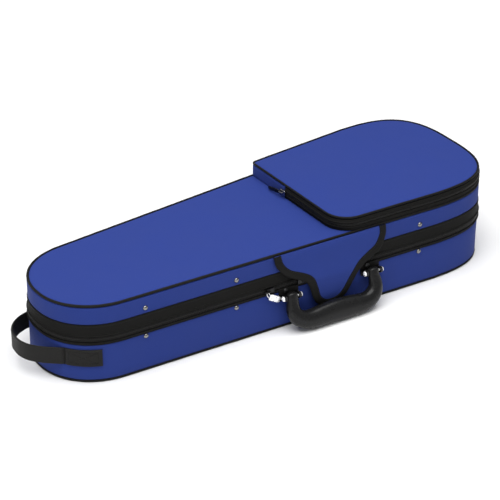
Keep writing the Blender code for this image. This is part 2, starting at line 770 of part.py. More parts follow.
def build_pocket():
    """Blue walls behind the fold, a zipped wall in front of it, and a cover in two leaves."""
    ring = POCKET_OUTLINE
    panel_low = POCKET_TOP - GAP - 0.0027
    wall_high = panel_low - GAP
    behind = [((0, POCKET_FOLD_Y + GAP / 2, 0), (0, -1, 0))]
    before = [((0, POCKET_FOLD_Y - GAP / 2, 0), (0, 1, 0))]
    wall = band("pocket_wall", ring, POCKET_LOW, wall_high, SKIN, "blue_fabric", behind)
    low_tape = pocket_zip_wall("pocket_zip_low", POCKET_LOW, POCKET_MIDDLE - GAP, before, 1)
    high_tape = pocket_zip_wall("pocket_zip_high", POCKET_MIDDLE + GAP, wall_high, before, -1)
    inner = inset_ring(ring, 2 * POCKET_PIPING)
    rear = panel("pocket_cover_rear", inner, panel_low, POCKET_TOP - GAP, "blue_fabric", behind)
    front = panel("pocket_cover_front", inner, panel_low, POCKET_TOP - GAP, "blue_fabric", before)
    rear_cord, front_cord = pocket_pipings(ring)
    hinge = Matrix.Translation((0.18, POCKET_FOLD_Y, POCKET_TOP))
    fold = pivot("pocket_fold_axis", hinge)
    hang(LID_PIVOT, wall, low_tape, rear, rear_cord, fold)
    hang(fold, front, high_tape, front_cord)


def pocket_zip_wall(name, low, high, cuts, coil_end):
    """A zip tape as part of the pocket's wall, thicker at the coil."""
    ring = POCKET_OUTLINE
    coil_ring = inset_ring(ring, TAPE_PROUD - COIL_PROUD)
    if coil_end > 0:
        step = high - 0.0026
        rings = ring, ring, coil_ring, coil_ring
    else:
        step = low + 0.0026
        rings = coil_ring, coil_ring, ring, ring
    heights = low, step, step, high
    bm = bmesh.new()
    outer = [at_height(points, z) for points, z in zip(rings, heights)]
    inner_ring = inset_ring(ring, SKIN)
    profile = outer + [at_height(inner_ring, high), at_height(inner_ring, low)]
    add_walls(bm, profile + profile[:1])
    bmesh.ops.remove_doubles(bm, verts=bm.verts, dist=1e-7)
    cut_away(bm, cuts)
    bmesh.ops.holes_fill(bm, edges=[edge for edge in bm.edges if edge.is_boundary])
    bmesh.ops.recalc_face_normals(bm, faces=bm.faces)
    return add(name, finish(bm, name), "black_fabric")


def pocket_pipings(ring):
    """The cord round the cover's edge, in a rear and a front length."""
    path = at_height(inset_ring(ring, POCKET_PIPING - GAP), POCKET_TOP - POCKET_PIPING)
    lengths = []
    for name, side in (("pocket_piping_rear", 1), ("pocket_piping_front", -1)):
        limit = POCKET_FOLD_Y + side * GAP / 2
        kept = one_side(path, limit, side)
        lengths.append(tube(name, kept, POCKET_PIPING, "black_fabric", cyclic=False))
    return lengths


def one_side(path, limit, side):
    """The open run of a closed path on one side of the line y = limit."""
    count = len(path)
    kept = [side * (point.y - limit) >= 0 for point in path]
    start = next(i for i in range(count) if kept[(i + 1) % count] and not kept[i])
    run = []
    for step in range(count):
        i = (start + step) % count
        j = (i + 1) % count
        here, after = path[i], path[j]
        if kept[i]:
            run.append(here)
        if kept[i] != kept[j]:
            run.append(here.lerp(after, (limit - here.y) / (after.y - here.y)))
        if kept[i] and not kept[j]:
            return run
    return run


# The strap loop on the narrow end.


def build_end_loop():
    """A strap sewn to both sides of the narrow end, standing clear of its tip."""
    outside = inset_ring(OUTLINE, -GAP - LOOP_THICK)
    front_tab = sewn_run(outside, -1, 150)
    rear_tab = sewn_run(outside, 1, 141)
    free = smooth([Vector(point) for point in LOOP_POINTS], 2)
    path = front_tab + free + rear_tab[::-1]
    path.reverse()
    band("end_loop", path, LOOP_LOW, LOOP_HIGH, LOOP_THICK, "black_strap", closed=False)


def sewn_run(outside, side, last):
    """The wall's points under one end of the strap, from its far end to where it leaves the wall."""
    centre_x = NARROW_REACH - CASE_LENGTH / 2
    bearings = [(math.degrees(math.atan2(side * p.y, p.x - centre_x)), p) for p in outside]
    return [point for angle, point in sorted(bearings, key=lambda pair: pair[0]) if 116 < angle < last]


# The interior.


def violin_outline():
    """The recess for the instrument's body and the root of its neck."""
    half = [(0.2800, 0.0), (0.2780, 0.0300), (0.2660, 0.0620), (0.2350, 0.0810), (0.2000, 0.0800)]
    half += [(0.1680, 0.0640), (0.1400, 0.0560), (0.1120, 0.0580), (0.0800, 0.0660)]
    half += [(0.0450, 0.0650), (0.0180, 0.0480), (0.0060, 0.0220)]
    curve = smooth([Vector(point) for point in half], 2)
    curve += [Vector((-0.0050, 0.0200)), Vector((CUSHION_LEFT - 0.01, 0.0200))]
    return curve + [Vector((point.x, -point.y)) for point in reversed(curve[1:])]


def prism(name, ring, low, high):
    """A closed prism for cutting, on any simple ring."""
    bm = bmesh.new()
    face = bm.faces.new([bm.verts.new(point) for point in at_height(ring, low)])
    extruded = bmesh.ops.extrude_face_region(bm, geom=[face], use_keep_orig=True)
    moved = [item for item in extruded["geom"] if isinstance(item, bmesh.types.BMVert)]
    bmesh.ops.translate(bm, vec=(0, 0, high - low), verts=moved)
    bmesh.ops.recalc_face_normals(bm, faces=bm.faces)
    return cutter(name, finish(bm, name))


def between(ring, low_x, high_x):
    """The part of a convex ring between two X values."""
    right = beyond_x(ring, low_x)
    mirrored = [Vector((-point.x, point.y)) for point in reversed(right)]
    left = beyond_x(mirrored, -high_x)
    return [Vector((-point.x, point.y)) for point in reversed(left)]


def build_interior():
    ring = inset_ring(OUTLINE, BLOCK_INSET)
    cushion_ring = beyond_x(ring, CUSHION_LEFT)
    cushion = panel("body_cushion", cushion_ring, BLOCK_LOW, CUSHION_TOP, "plush")
    boolean(cushion, prism("violin_recess", violin_outline(), RECESS_FLOOR, CUSHION_TOP + 0.01))
    cradle = panel("neck_cradle", between(ring, *CRADLE), BLOCK_LOW, CRADLE_TOP, "plush")
    notch = (CRADLE[0] - 0.01, -NOTCH_HALF, NOTCH_LOW), (CRADLE[1] + 0.01, NOTCH_HALF, CRADLE_TOP + 0.01)
    boolean(cradle, cutter("neck_notch", block_mesh("neck_notch", *notch)))
    strap_x = (CRADLE[0] + CRADLE[1]) / 2
    corners = (strap_x - 0.011, -0.042, CRADLE_TOP + GAP), (strap_x + 0.011, 0.042, CRADLE_TOP + 0.0018)
    add("neck_strap", block_mesh("neck_strap", *corners), "black_fabric")
    build_accessory_box(ring)
    build_bow_fittings()


def build_accessory_box(ring):
    """Two bays in the narrow end: an open one, and one under a hinged lid."""
    left = between(ring, -0.5, BOX_RIGHT)
    case = panel("accessory_box", left, BLOCK_LOW, BOX_TOP, "plush")
    inner = inset_ring(ring, BOX_WALL)
    half = BOX_WALL / 2
    bays = (("rosin_bay", -0.5, BOX_DIVIDER - half), ("small_bay", BOX_DIVIDER + half, BOX_RIGHT - BOX_WALL))
    for name, low_x, high_x in bays:
        bay = between(inner, low_x, high_x)
        boolean(case, prism(name, bay, BLOCK_LOW + BOX_WALL, BOX_TOP + 0.01))
    cover_ring = between(inset_ring(ring, 0.0080), BOX_DIVIDER + 0.001, BOX_RIGHT - 0.002)
    cover = panel("accessory_lid", cover_ring, BOX_TOP + GAP, BOX_TOP + GAP + 0.0025, "plush")
    hang(pivot("accessory_lid_axis", Matrix.Translation((BOX_DIVIDER, 0, BOX_TOP))), cover)


def build_bow_fittings():
    """Two spinners that turn over the bows' frogs, and a bridge for their tips."""
    ceiling = LID_TOP - PANEL - 2 * GAP - BOARD - LINING
    x, y = SPINNER_AT
    for name, side in (("front", -1), ("rear", 1)):
        top = ceiling - GAP
        place = Matrix.Translation((x, side * y, top))
        axis = pivot(f"bow_spinner_{name}_axis", place)
        low, high = (-0.0045, -0.0180, -0.0180), (0.0045, 0.0180, -0.0110)
        spinner = add(f"bow_spinner_{name}", block_mesh("spinner", low, high), "black_plastic", place)
        bevel(spinner, 0.0020)
        stem = rod_mesh("spinner_stem", 0.0045, (0, 0, -0.0140), (0, 0, 0))
        boolean(spinner, cutter(f"spinner_stem_{name}", stem, place), "UNION")
        hang(LID_PIVOT, axis)
        hang(axis, spinner)
    low, high = (HOLDER_AT - 0.008, -0.050, ceiling - 0.0160), (HOLDER_AT + 0.008, 0.050, ceiling - GAP)
    holder = add("bow_tip_holder", block_mesh("bow_tip_holder", low, high), "plush")
    for name, side in (("front", -1), ("rear", 1)):
        slot_y = side * 0.030
        low = (HOLDER_AT - 0.02, slot_y - 0.009, ceiling - 0.0130)
        high = (HOLDER_AT + 0.02, slot_y + 0.009, ceiling + 0.01)
        boolean(holder, cutter(f"bow_slot_{name}", block_mesh("bow_slot", low, high)))
    hang(LID_PIVOT, holder)


def main():
    lid_skins = build_lid()
    shell, cover, lip, tape = build_base()
    build_rivets((shell, cover, lip), lid_skins)
    build_handle((shell, tape, lip))
    build_flap()
    build_main_sliders()
    build_pocket()
    build_pocket_slider()
    build_end_loop()
    build_interior()


clear_scene()
PARTS = collection("violin_case")
CUTTERS = collection("cutters", hidden=True)
OUTLINE = case_outline()
POCKET_OUTLINE = pocket_outline()
POCKET_MIDDLE = (POCKET_LOW + POCKET_TOP) / 2 - 0.0012
FRONT = wall_frame(-1)
REAR = wall_frame(1)
LID_PIVOT = pivot("lid_axis", REAR @ Matrix.Translation((0, LID_HINGE_OUT, SEAM)))
main()
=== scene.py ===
"""Looks of the violin case: fabric skins, piping, zips, flap, handle, strap loop and plush interior.

Everything is in metres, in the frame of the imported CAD: +X to the wide end, -Y to the handle, +Z up.
"""

import math

import bmesh
import bpy
import numpy as np
from mathutils import Matrix, Vector, noise
from mathutils.geometry import convex_hull_2d


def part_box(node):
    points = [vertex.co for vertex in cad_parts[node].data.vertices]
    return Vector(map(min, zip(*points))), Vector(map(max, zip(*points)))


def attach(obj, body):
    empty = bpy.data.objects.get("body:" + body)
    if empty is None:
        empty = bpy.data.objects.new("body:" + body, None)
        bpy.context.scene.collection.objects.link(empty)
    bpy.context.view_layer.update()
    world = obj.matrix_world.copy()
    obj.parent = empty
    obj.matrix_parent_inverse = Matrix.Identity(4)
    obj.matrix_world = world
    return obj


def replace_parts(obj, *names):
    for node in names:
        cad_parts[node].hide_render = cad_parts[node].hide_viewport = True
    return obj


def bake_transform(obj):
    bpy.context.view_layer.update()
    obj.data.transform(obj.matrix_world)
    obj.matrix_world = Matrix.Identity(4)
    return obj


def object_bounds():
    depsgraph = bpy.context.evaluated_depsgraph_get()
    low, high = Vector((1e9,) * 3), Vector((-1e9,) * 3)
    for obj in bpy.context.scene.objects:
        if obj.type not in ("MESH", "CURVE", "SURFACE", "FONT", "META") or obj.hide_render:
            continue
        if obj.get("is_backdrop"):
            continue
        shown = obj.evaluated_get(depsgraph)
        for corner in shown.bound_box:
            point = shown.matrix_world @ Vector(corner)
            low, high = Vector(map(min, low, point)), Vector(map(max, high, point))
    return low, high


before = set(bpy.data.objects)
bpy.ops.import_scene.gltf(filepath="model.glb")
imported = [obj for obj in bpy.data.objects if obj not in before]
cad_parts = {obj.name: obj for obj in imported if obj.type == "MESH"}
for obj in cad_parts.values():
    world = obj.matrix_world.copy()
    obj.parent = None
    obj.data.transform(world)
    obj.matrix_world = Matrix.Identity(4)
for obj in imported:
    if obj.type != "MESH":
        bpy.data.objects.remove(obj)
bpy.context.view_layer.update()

# Shell, as in the CAD.
LENGTH = 0.600
NARROW_REACH, NARROW_HALF, NARROW_POWER = 0.079, 0.0735, 2.14
WIDE_REACH, WIDE_HALF, WIDE_POWER = 0.101, 0.1007, 2.96
LID_TOP, POCKET_TOP, SEAM = 0.1017, 0.1203, 0.0575
BAND_LOW, BAND_HIGH = 0.0495, 0.0765
PIPING = 0.0015
POCKET_LEFT, POCKET_FOLD_Y, POCKET_LOW = 0.057, 0.018, 0.1023
POCKET_SEAM, POCKET_ZIP_HIGH, POCKET_COVER_LOW = 0.1101, 0.1168, 0.1172
WALL_STEP = 0.0030

# The lines along X that the rings of the flat panels shrink onto.
SPINE, POCKET_SPINE = (-0.222, 0.199), (0.120, 0.200)

# The cloth's face stands this far out from the wall, and its back is sunk into the board.
CLOTH_OUT, CLOTH_BACK = 0.0003, -0.0012

# The front wall's frame: distances along it are from the middle of the handle.
FRONT_ORIGIN = Vector((0.0436, -0.090657, 0.0))
FRONT_ALONG = Vector((0.997918, -0.064495, 0.0))
FRONT_OUT = Vector((-0.064495, -0.997918, 0.0))
UP = Vector((0.0, 0.0, 1.0))
RIVET_ALONG, RIVET_LOW, RIVET_HIGH = (-0.2461, -0.1269, 0.1292), 0.0463, 0.0835
POST_ALONG, PIVOT_OUT, PIVOT_Z = 0.057, 0.0100, 0.0448
PAD_RIVET_ALONG, PAD_RIVET_Z = -0.0045, 0.0511
SIDES = (("left", -1), ("right", 1))
DROOP = math.radians(74.0)

# The flap's path down the wall as (out, z), its outline as (z, half width), how far its middle leans
# to the right as (z, along), and the width of its binding.
FLAP_PATH = (
    (0.0004, 0.0994), (0.0020, 0.0930), (0.0046, 0.0760), (0.0078, 0.0600), (0.0082, 0.0535),
    (0.0077, 0.0450), (0.0062, 0.0300), (0.0045, 0.0148),
)
FLAP_HALF = (
    (0.0994, 0.0778), (0.0960, 0.0776), (0.0883, 0.0764), (0.0796, 0.0720), (0.0707, 0.0638),
    (0.0647, 0.0523), (0.0599, 0.0430), (0.0553, 0.0370), (0.0473, 0.0320), (0.0351, 0.0268),
    (0.0290, 0.0240), (0.0240, 0.0205), (0.0195, 0.0156), (0.0168, 0.0105), (0.0153, 0.0052),
    (0.0148, 0.0000),
)
FLAP_LEAN = (
    (0.0148, -0.0006), (0.0350, -0.0003), (0.0500, 0.0010), (0.0600, 0.0026), (0.0700, 0.0032),
    (0.0850, 0.0008), (0.0994, 0.0),
)
BINDING = 0.0094

# The strap loop's free part as (x, y), its lower and upper edges, and its thickness.
LOOP_POINTS = (
    (-0.2975, -0.0360), (-0.3080, -0.0270), (-0.3190, -0.0140), (-0.3235, -0.0030), (-0.3245, 0.0080),
    (-0.3215, 0.0240), (-0.3130, 0.0370), (-0.3020, 0.0455), (-0.2910, 0.0500),
)
LOOP_LOW, LOOP_HIGH, LOOP_THICK = 0.0220, 0.0440, 0.0021


# Materials.


# Outputs of the texture coordinate node. Both are in metres here.
UV, OBJECT = 2, 3


class Paint:
    """A Principled material built from nodes."""

    def __init__(self, name, **sockets):
        self.material = bpy.data.materials.new(name)
        self.material.use_nodes = True
        self.tree = self.material.node_tree
        self.shader = self.tree.nodes["Principled BSDF"]
        for socket, value in sockets.items():
            self.shader.inputs[socket.replace("_", " ")].default_value = value

    def node(self, kind, settings=(), output=0, **inputs):
        """A new node's output. Its inputs are given by name, or by number as in i0."""
        made = self.tree.nodes.new(kind)
        for key, value in dict(settings).items():
            setattr(made, key, value)
        for key, value in inputs.items():
            slot = int(key[1:]) if key[0] == "i" and key[1:].isdigit() else key.replace("_", " ")
            if isinstance(value, bpy.types.NodeSocket):
                self.tree.links.new(value, made.inputs[slot])
            else:
                made.inputs[slot].default_value = value
        return made.outputs[output]

    def math(self, operation, a, b=0.0):
        return self.node("ShaderNodeMath", {"operation": operation}, i0=a, i1=b)

    def coordinates(self, kind):
        return self.node("ShaderNodeTexCoord", output=kind)

    def axes(self, place):
        return self.node("ShaderNodeSeparateXYZ", Vector=place).node.outputs

    def waves(self, value, pitch):
        return self.math("SINE", self.math("MULTIPLY", value, 2 * math.pi / pitch))

    def noise(self, place, scale, detail=3.0, roughness=0.55):
        return self.node("ShaderNodeTexNoise", Vector=place, Scale=scale, Detail=detail, Roughness=roughness)

    def ramp(self, value, low, high, from_low=0.3, from_high=0.7):
        ends = {"From_Min": from_low, "From_Max": from_high, "To_Min": low, "To_Max": high}
        return self.node("ShaderNodeMapRange", Value=value, **ends)

    def mix(self, share, a, b):
        """Colour a where share is 0, and b where it is 1."""
        a, b = (value if isinstance(value, bpy.types.NodeSocket) else (*value, 1.0) for value in (a, b))
        return self.node("ShaderNodeMix", {"data_type": "RGBA"}, 2, i0=share, i6=a, i7=b)

    def bump(self, height, strength, distance, under=None):
        inputs = {"Height": height, "Strength": strength, "Distance": distance}
        if under is not None:
            inputs["Normal"] = under
        return self.node("ShaderNodeBump", **inputs)

    def worn(self, wear, share, shades, rough, normal):
        """Finished with a shade and a roughness that both follow the wear."""
        return self.finish(self.mix(self.ramp(wear, 0.0, share), *shades), self.ramp(wear, *rough), normal)

    def finish(self, colour=None, roughness=None, normal=None):
        pairs = (("Base Color", colour), ("Roughness", roughness), ("Normal", normal))
        for name, value in pairs:
            if value is not None:
                self.tree.links.new(value, self.shader.inputs[name])
        return self.material


def tint(colour, by):
    return tuple(min(1.0, channel * by) for channel in colour)


def weave(paint, place, pitch):
    """Height of a plain weave from 0 to 1, with two threads to each wave. The node adds its default, 0.5."""
    u, v = (paint.waves(axis, 2 * pitch) for axis in paint.axes(place)[:2])
    return paint.math("MULTIPLY_ADD", paint.math("MULTIPLY", u, v), 0.5)


def cloth_paint(name, colour, pitch, roughness=0.8, sheen=0.03, depth=0.00012, contrast=0.16, shine=0.15):
    """A woven cloth: threads painted darker in the weave's valleys as shade, slubs, and slow random changes
    of tone.
    """
    paint = Paint(name, Sheen_Weight=sheen, Sheen_Roughness=0.45, Specular_IOR_Level=shine)
    place = paint.coordinates(UV)
    height = weave(paint, place, pitch)
    slub = paint.noise(place, 900.0, 2.0)
    wide = paint.noise(place, 18.0, 4.0)
    dark, light = tint(colour, 1 - contrast), tint(colour, 1 + contrast / 2)
    # Painted shade: the colour follows the weave's height, darker in its valleys and lighter on its crowns.
    threads = paint.mix(paint.ramp(height, 0.0, 1.0, -0.3, 0.4), dark, light)
    patchy = paint.mix(paint.ramp(wide, 0.0, 0.35), threads, tint(colour, 1.18))
    speckled = paint.mix(paint.ramp(slub, 0.0, 0.25), patchy, tint(colour, 0.72))
    rough = paint.ramp(wide, roughness - 0.06, roughness + 0.06)
    normal = paint.bump(height, 0.7, depth, paint.bump(slub, 0.25, depth))
    return paint.finish(speckled, rough, normal)


def cord_paint(name, colour, roughness=0.6):
    """Bias-cut binding over a cord: fine slanting ribs."""
    paint = Paint(name, Specular_IOR_Level=0.12)
    place = paint.coordinates(UV)
    across = paint.axes(place)
    ribs = paint.waves(paint.math("ADD", across[0], across[1]), 0.0011)
    wear, rough = paint.noise(place, 40.0, 5.0), (roughness - 0.1, roughness + 0.1)
    normal = paint.bump(ribs, 0.5, 0.00012)
    return paint.worn(wear, 0.7, (tint(colour, 0.8), tint(colour, 1.5)), rough, normal)


def plush_paint(name, colour):
    """A short brushed pile."""
    paint = Paint(name, Roughness=0.95, Sheen_Weight=0.22, Sheen_Roughness=0.35, Specular_IOR_Level=0.1)
    place = paint.coordinates(OBJECT)
    pile = paint.noise(place, 1400.0, 2.0, 0.7)
    brushed = paint.noise(place, 28.0, 4.0, 0.6)
    mottled = paint.mix(paint.ramp(pile, 0.0, 1.0), tint(colour, 0.65), tint(colour, 1.3))
    shade = paint.mix(paint.ramp(brushed, 0.0, 0.45), mottled, tint(colour, 1.6))
    normal = paint.bump(pile, 0.6, 0.0005, paint.bump(brushed, 0.35, 0.0015))
    return paint.finish(shade, None, normal)


def plastic_paint(name, colour, roughness, grain=0.25, shine=0.3):
    """Moulded plastic with a fine spark-eroded grain and handling wear."""
    paint = Paint(name, Specular_IOR_Level=shine)
    place = paint.coordinates(OBJECT)
    wear, rough = paint.noise(place, 45.0, 5.0, 0.65), (roughness - 0.07, roughness + 0.08)
    pits = paint.bump(paint.noise(place, 1500.0, 2.0), grain, 0.00008)
    return paint.worn(wear, 0.5, (tint(colour, 0.9), tint(colour, 1.25)), rough, pits)


def metal_paint(name, colour, roughness, metallic=1.0):
    """Metal with smears and fine pits."""
    paint = Paint(name, Metallic=metallic)
    place = paint.coordinates(OBJECT)
    smear, rough = paint.noise(place, 260.0, 4.0, 0.6), (roughness * 0.7, roughness * 1.4)
    pits = paint.bump(paint.noise(place, 1800.0, 2.0), 0.15, 0.00003)
    return paint.worn(smear, 0.6, (colour, tint(colour, 0.8)), rough, pits)


def board_paint(name, colour):
    """Laminated board seen at its cut edge."""
    paint = Paint(name, Specular_IOR_Level=0.3)
    place = paint.coordinates(OBJECT)
    fibre = paint.noise(place, 220.0, 6.0, 0.7)
    plies = paint.waves(paint.axes(place)[2], 0.0012)
    shade = paint.mix(paint.ramp(fibre, 0.1, 0.9), tint(colour, 0.7), tint(colour, 1.25))
    layered = paint.mix(paint.ramp(plies, 0.0, 0.25, -1.0, 1.0), shade, tint(colour, 0.5))
    return paint.finish(layered, paint.ramp(fibre, 0.7, 0.9), paint.bump(fibre, 0.4, 0.0002))


def fuzz_paint(name, colour):
    """Hook-and-loop tape: a dense field of tiny tufts, painted lighter on their tops and darker in the gaps
    between them as light and shade.
    """
    paint = Paint(name, Sheen_Weight=0.4, Sheen_Roughness=0.4, Specular_IOR_Level=0.3)
    cells = paint.node("ShaderNodeTexVoronoi", Vector=paint.coordinates(OBJECT), Scale=900.0)
    tuft = paint.ramp(cells, 1.0, 0.0, 0.0, 0.7)
    # Painted light and shade: the colour follows the tufts' height, light on their tops and dark between
    # them.
    shade = paint.mix(tuft, tint(colour, 0.5), tint(colour, 1.7))
    rough = paint.ramp(cells, 0.75, 0.95, 0.0, 0.7)
    return paint.finish(shade, rough, paint.bump(tuft, 0.8, 0.0004))


BLUE = (0.0165, 0.0345, 0.1850)
BLACK = (0.0068, 0.0066, 0.0062)
WEBBING, POCKET_BLACK, TUFTS = tint(BLACK, 1.65), (0.010, 0.010, 0.011), (0.014, 0.014, 0.014)
PAINTS = {
    "blue": cloth_paint("blue_woven_nylon", BLUE, 0.0007),
    "tape": cloth_paint("black_zip_tape", BLACK, 0.0006, 0.7, 0.0, contrast=0.3, shine=0.09),
    "binding": cloth_paint("black_bias_binding", BLACK, 0.0009, 0.68, 0.0, contrast=0.3, shine=0.10),
    "webbing": cloth_paint("black_strap_webbing", WEBBING, 0.0013, 0.55, 0.0, 0.00025, 0.25, 0.14),
    "lining": cloth_paint("black_pocket_lining", POCKET_BLACK, 0.0005, 0.6),
    "piping": cord_paint("black_piping", BLACK),
    "thread": cord_paint("black_thread", tint(BLACK, 2.0), 0.45),
    "coil": plastic_paint("black_nylon_coil", tint(BLACK, 1.5), 0.38, shine=0.25),
    "plush": plush_paint("dark_blue_plush", (0.013, 0.021, 0.085)),
    "grip": plastic_paint("satin_black_grip", (0.0085, 0.0085, 0.0088), 0.27, 0.3, 0.22),
    "plastic": plastic_paint("black_moulded_plastic", (0.020, 0.020, 0.020), 0.40),
    "enamel": metal_paint("black_enamelled_zinc", (0.030, 0.030, 0.031), 0.30),
    "chrome": metal_paint("bright_plated_steel", (0.93, 0.93, 0.94), 0.24, 0.72),
    "pin": metal_paint("bright_pin", (0.95, 0.95, 0.96), 0.32, 0.35),
    "nickel": metal_paint("nickel_rivet", (0.25, 0.245, 0.24), 0.18),
    "blackened": metal_paint("blackened_steel", (0.045, 0.045, 0.046), 0.35),
    "board": board_paint("laminated_board", (0.16, 0.12, 0.085)),
    "fuzz": fuzz_paint("hook_and_loop", TUFTS),
}


# Outlines as arrays of 2D points, counter-clockwise.


def case_outline(steps=140):
    """The hull of the two superellipse ends."""
    points = []
    ends = (
        (NARROW_REACH - LENGTH / 2, -NARROW_REACH, NARROW_HALF, NARROW_POWER),
        (LENGTH / 2 - WIDE_REACH, WIDE_REACH, WIDE_HALF, WIDE_POWER),
    )
    for centre, reach, half, power in ends:
        for step in range(steps + 1):
            angle = math.pi * (step / steps - 0.5)
            x = centre + reach * abs(math.cos(angle)) ** (2 / power)
            y = half * math.copysign(abs(math.sin(angle)) ** (2 / power), angle)
            points.append(Vector((x, y)))
    return [points[i] for i in convex_hull_2d(points)]


def inset_ring(ring, inset):
    """A closed ring moved inwards, or outwards where inset is negative."""
    moved = []
    for before, here, after in zip(ring[-1:] + ring[:-1], ring, ring[1:] + ring[:1]):
        first = (here - before).normalized()
        second = (after - here).normalized()
        a = Vector((-first.y, first.x))
        b = Vector((-second.y, second.x))
        moved.append(here + (a + b) * inset / (1 + a.dot(b)))
    return moved


def fillet(before, corner, after, radius, steps=9):
    back = (before - corner).normalized()
    forward = (after - corner).normalized()
    half = back.angle(forward) / 2
    centre = corner + (back + forward).normalized() * radius / math.sin(half)
    start = corner + back * radius / math.tan(half) - centre
    sweep_angle = math.pi - 2 * half
    return [centre + Matrix.Rotation(sweep_angle * i / steps, 2) @ start for i in range(steps + 1)]


def beyond_x(ring, x):
    """The part of a convex ring at larger X, from its upper crossing to its lower one."""
    clipped = []
    for here, after in zip(ring, ring[1:] + ring[:1]):
        if here.x >= x:
            clipped.append(here)
        if (here.x >= x) != (after.x >= x):
            clipped.append(here.lerp(after, (x - here.x) / (after.x - here.x)))
    edge = [point for point in clipped if abs(point.x - x) < 1e-6]
    start = clipped.index(max(edge, key=lambda point: point.y))
    return clipped[start:] + clipped[:start]


def pocket_outline(outline):
    """The wide end of the case, cut off straight across with two rounded corners."""
    ring = beyond_x(inset_ring(outline, 0.0010), POCKET_LEFT)
    rear = fillet(ring[-1], ring[0], ring[1], 0.005)
    front = fillet(ring[0], ring[1], ring[2], 0.030)
    return rear + front + [p for p in ring[2:] if (p - rear[0]).length > 0.004 or p.x > rear[0].x]


def smooth_line(points, steps=8):
    """A Catmull-Rom curve through points of any dimension."""
    points = np.array(points, float)
    ends = np.vstack([2 * points[0] - points[1], points, 2 * points[-1] - points[-2]])
    curve = []
    for a, b, c, d in zip(ends, ends[1:], ends[2:], ends[3:]):
        slope, bend, twist = (c - a) / 2, (2 * a - 5 * b + 4 * c - d) / 2, (3 * b - a - 3 * c + d) / 2
        for step in range(steps):
            t = step / steps
            curve.append(b + slope * t + bend * t**2 + twist * t**3)
    return np.array(curve + [points[-1]])


def unit(rows):
    return rows / np.linalg.norm(rows, axis=1)[:, None]


def lengths(points, closed=False):
    """Distances along a line of points, back to the first one on a closed line."""
    line = np.vstack([points, points[:1]]) if closed else points
    return np.concatenate([[0.0], np.cumsum(np.linalg.norm(np.diff(line, axis=0), axis=1))])


def sample(at, along, table):
    """The rows of a table, interpolated at distances along its line."""
    return np.stack([np.interp(at, along, column) for column in np.transpose(table)], axis=1)


class Run:
    """Evenly spaced points along a line, with outward normals and distances along it."""

    def __init__(self, points, closed=True, step=WALL_STEP):
        line = np.array([tuple(point) for point in points], float)
        if closed:
            line = np.vstack([line, line[:1]])
        along = lengths(line)
        count = max(2, round(along[-1] / step))
        at = np.linspace(0.0, along[-1], count + 1)
        even = sample(at, along, line)
        self.closed = closed
        self.points = even[:-1] if closed else even
        self.along = at
        if closed:
            heading = unit(np.roll(self.points, -1, axis=0) - np.roll(self.points, 1, axis=0))
        else:
            heading = unit(np.gradient(self.points, axis=0))
        self.normals = np.stack([heading[:, 1], -heading[:, 0]], axis=1)

    def at(self, out, z):
        """The points moved outwards, at height z."""
        moved = self.points + self.normals * np.reshape(out, (-1, 1))
        return np.column_stack([moved, np.broadcast_to(z, len(moved))])

    def outwards(self):
        """The outward normals in three dimensions."""
        return np.column_stack([self.normals, np.zeros(len(self.normals))])

    def kept(self, inside):
        """The open run of points for which inside is true, on a closed run."""
        count = len(self.points)
        start = next(i for i in range(count) if inside[i] and not inside[i - 1])
        order = [(start + k) % count for k in range(count)]
        length = next((k for k, i in enumerate(order) if not inside[i]), count)
        part = Run.__new__(Run)
        part.closed = False
        part.points = self.points[order[:length]]
        part.normals = self.normals[order[:length]]
        part.along = lengths(part.points)
        return part


# Meshes.

# How often the noise in each kind of surface repeats, per metre.
PANEL_RATE, WALL_RATE, FLAP_RATE, PLUSH_RATE, CORD_RATE = 14, 22.0, 30, 45.0, 90.0


def linked(name, data):
    """A new object, in the scene."""
    obj = bpy.data.objects.new(name, data)
    bpy.context.scene.collection.objects.link(obj)
    return obj


def new_object(name, vertices, faces, paint, uvs=None, sharp=40.0):
    mesh = bpy.data.meshes.new(name)
    mesh.from_pydata(np.asarray(vertices).tolist(), [], faces)
    if uvs is not None:
        mesh.uv_layers.new(name="UVMap").data.foreach_set("uv", np.asarray(uvs, np.float32).ravel())
    mesh.shade_smooth()
    mesh.set_sharp_from_angle(angle=math.radians(sharp))
    mesh.materials.append(PAINTS[paint])
    obj = linked(name, mesh)
    return obj


def volume(points, faces):
    """The signed volume inside closed faces: negative where they point inwards."""
    total = 0.0
    for face in faces:
        corner = points[face[0]]
        for b, c in zip(face[1:], face[2:]):
            total += np.dot(corner, np.cross(points[b], points[c]))
    return total / 6


def skin(name, grid, paint, wrap=(False, False), along=None, uvs=None, sharp=40.0):
    """A surface through a grid of points. Runs with a closed section are capped at their ends."""
    n, m = grid.shape[:2]
    u = lengths(grid[:, 0], wrap[0]) if along is None else np.asarray(along)
    v = lengths(grid[n // 2], wrap[1])
    rows, columns = np.arange(n if wrap[0] else n - 1), np.arange(m if wrap[1] else m - 1)
    i, j = (index.ravel() for index in np.meshgrid(rows, columns, indexing="ij"))
    k, l = (i + 1) % n, (j + 1) % m
    faces = np.stack([i * m + j, k * m + j, k * m + l, i * m + l], axis=1)
    if uvs is None:
        corners = ((i, j), (i + 1, j), (i + 1, j + 1), (i, j + 1))
        flat = np.stack([np.stack([u[a], v[b]], 1) for a, b in corners], axis=1)
    else:
        flat = np.asarray(uvs).reshape(-1, 2)[faces]
    points = grid.reshape(-1, 3)
    faces, flat = faces.tolist(), flat.reshape(-1, 2).tolist()
    if wrap[1] and not wrap[0]:
        faces += [list(range(m))[::-1], list(range((n - 1) * m, n * m))]
        flat += [[0.0, 0.0]] * (2 * m)
    if wrap[1] and volume(points, faces) < 0:
        start, turned_flat = 0, []
        for face in faces:
            turned_flat += flat[start:start + len(face)][::-1]
            start += len(face)
        faces, flat = [face[::-1] for face in faces], turned_flat
    return new_object(name, points, faces, paint, flat, sharp)


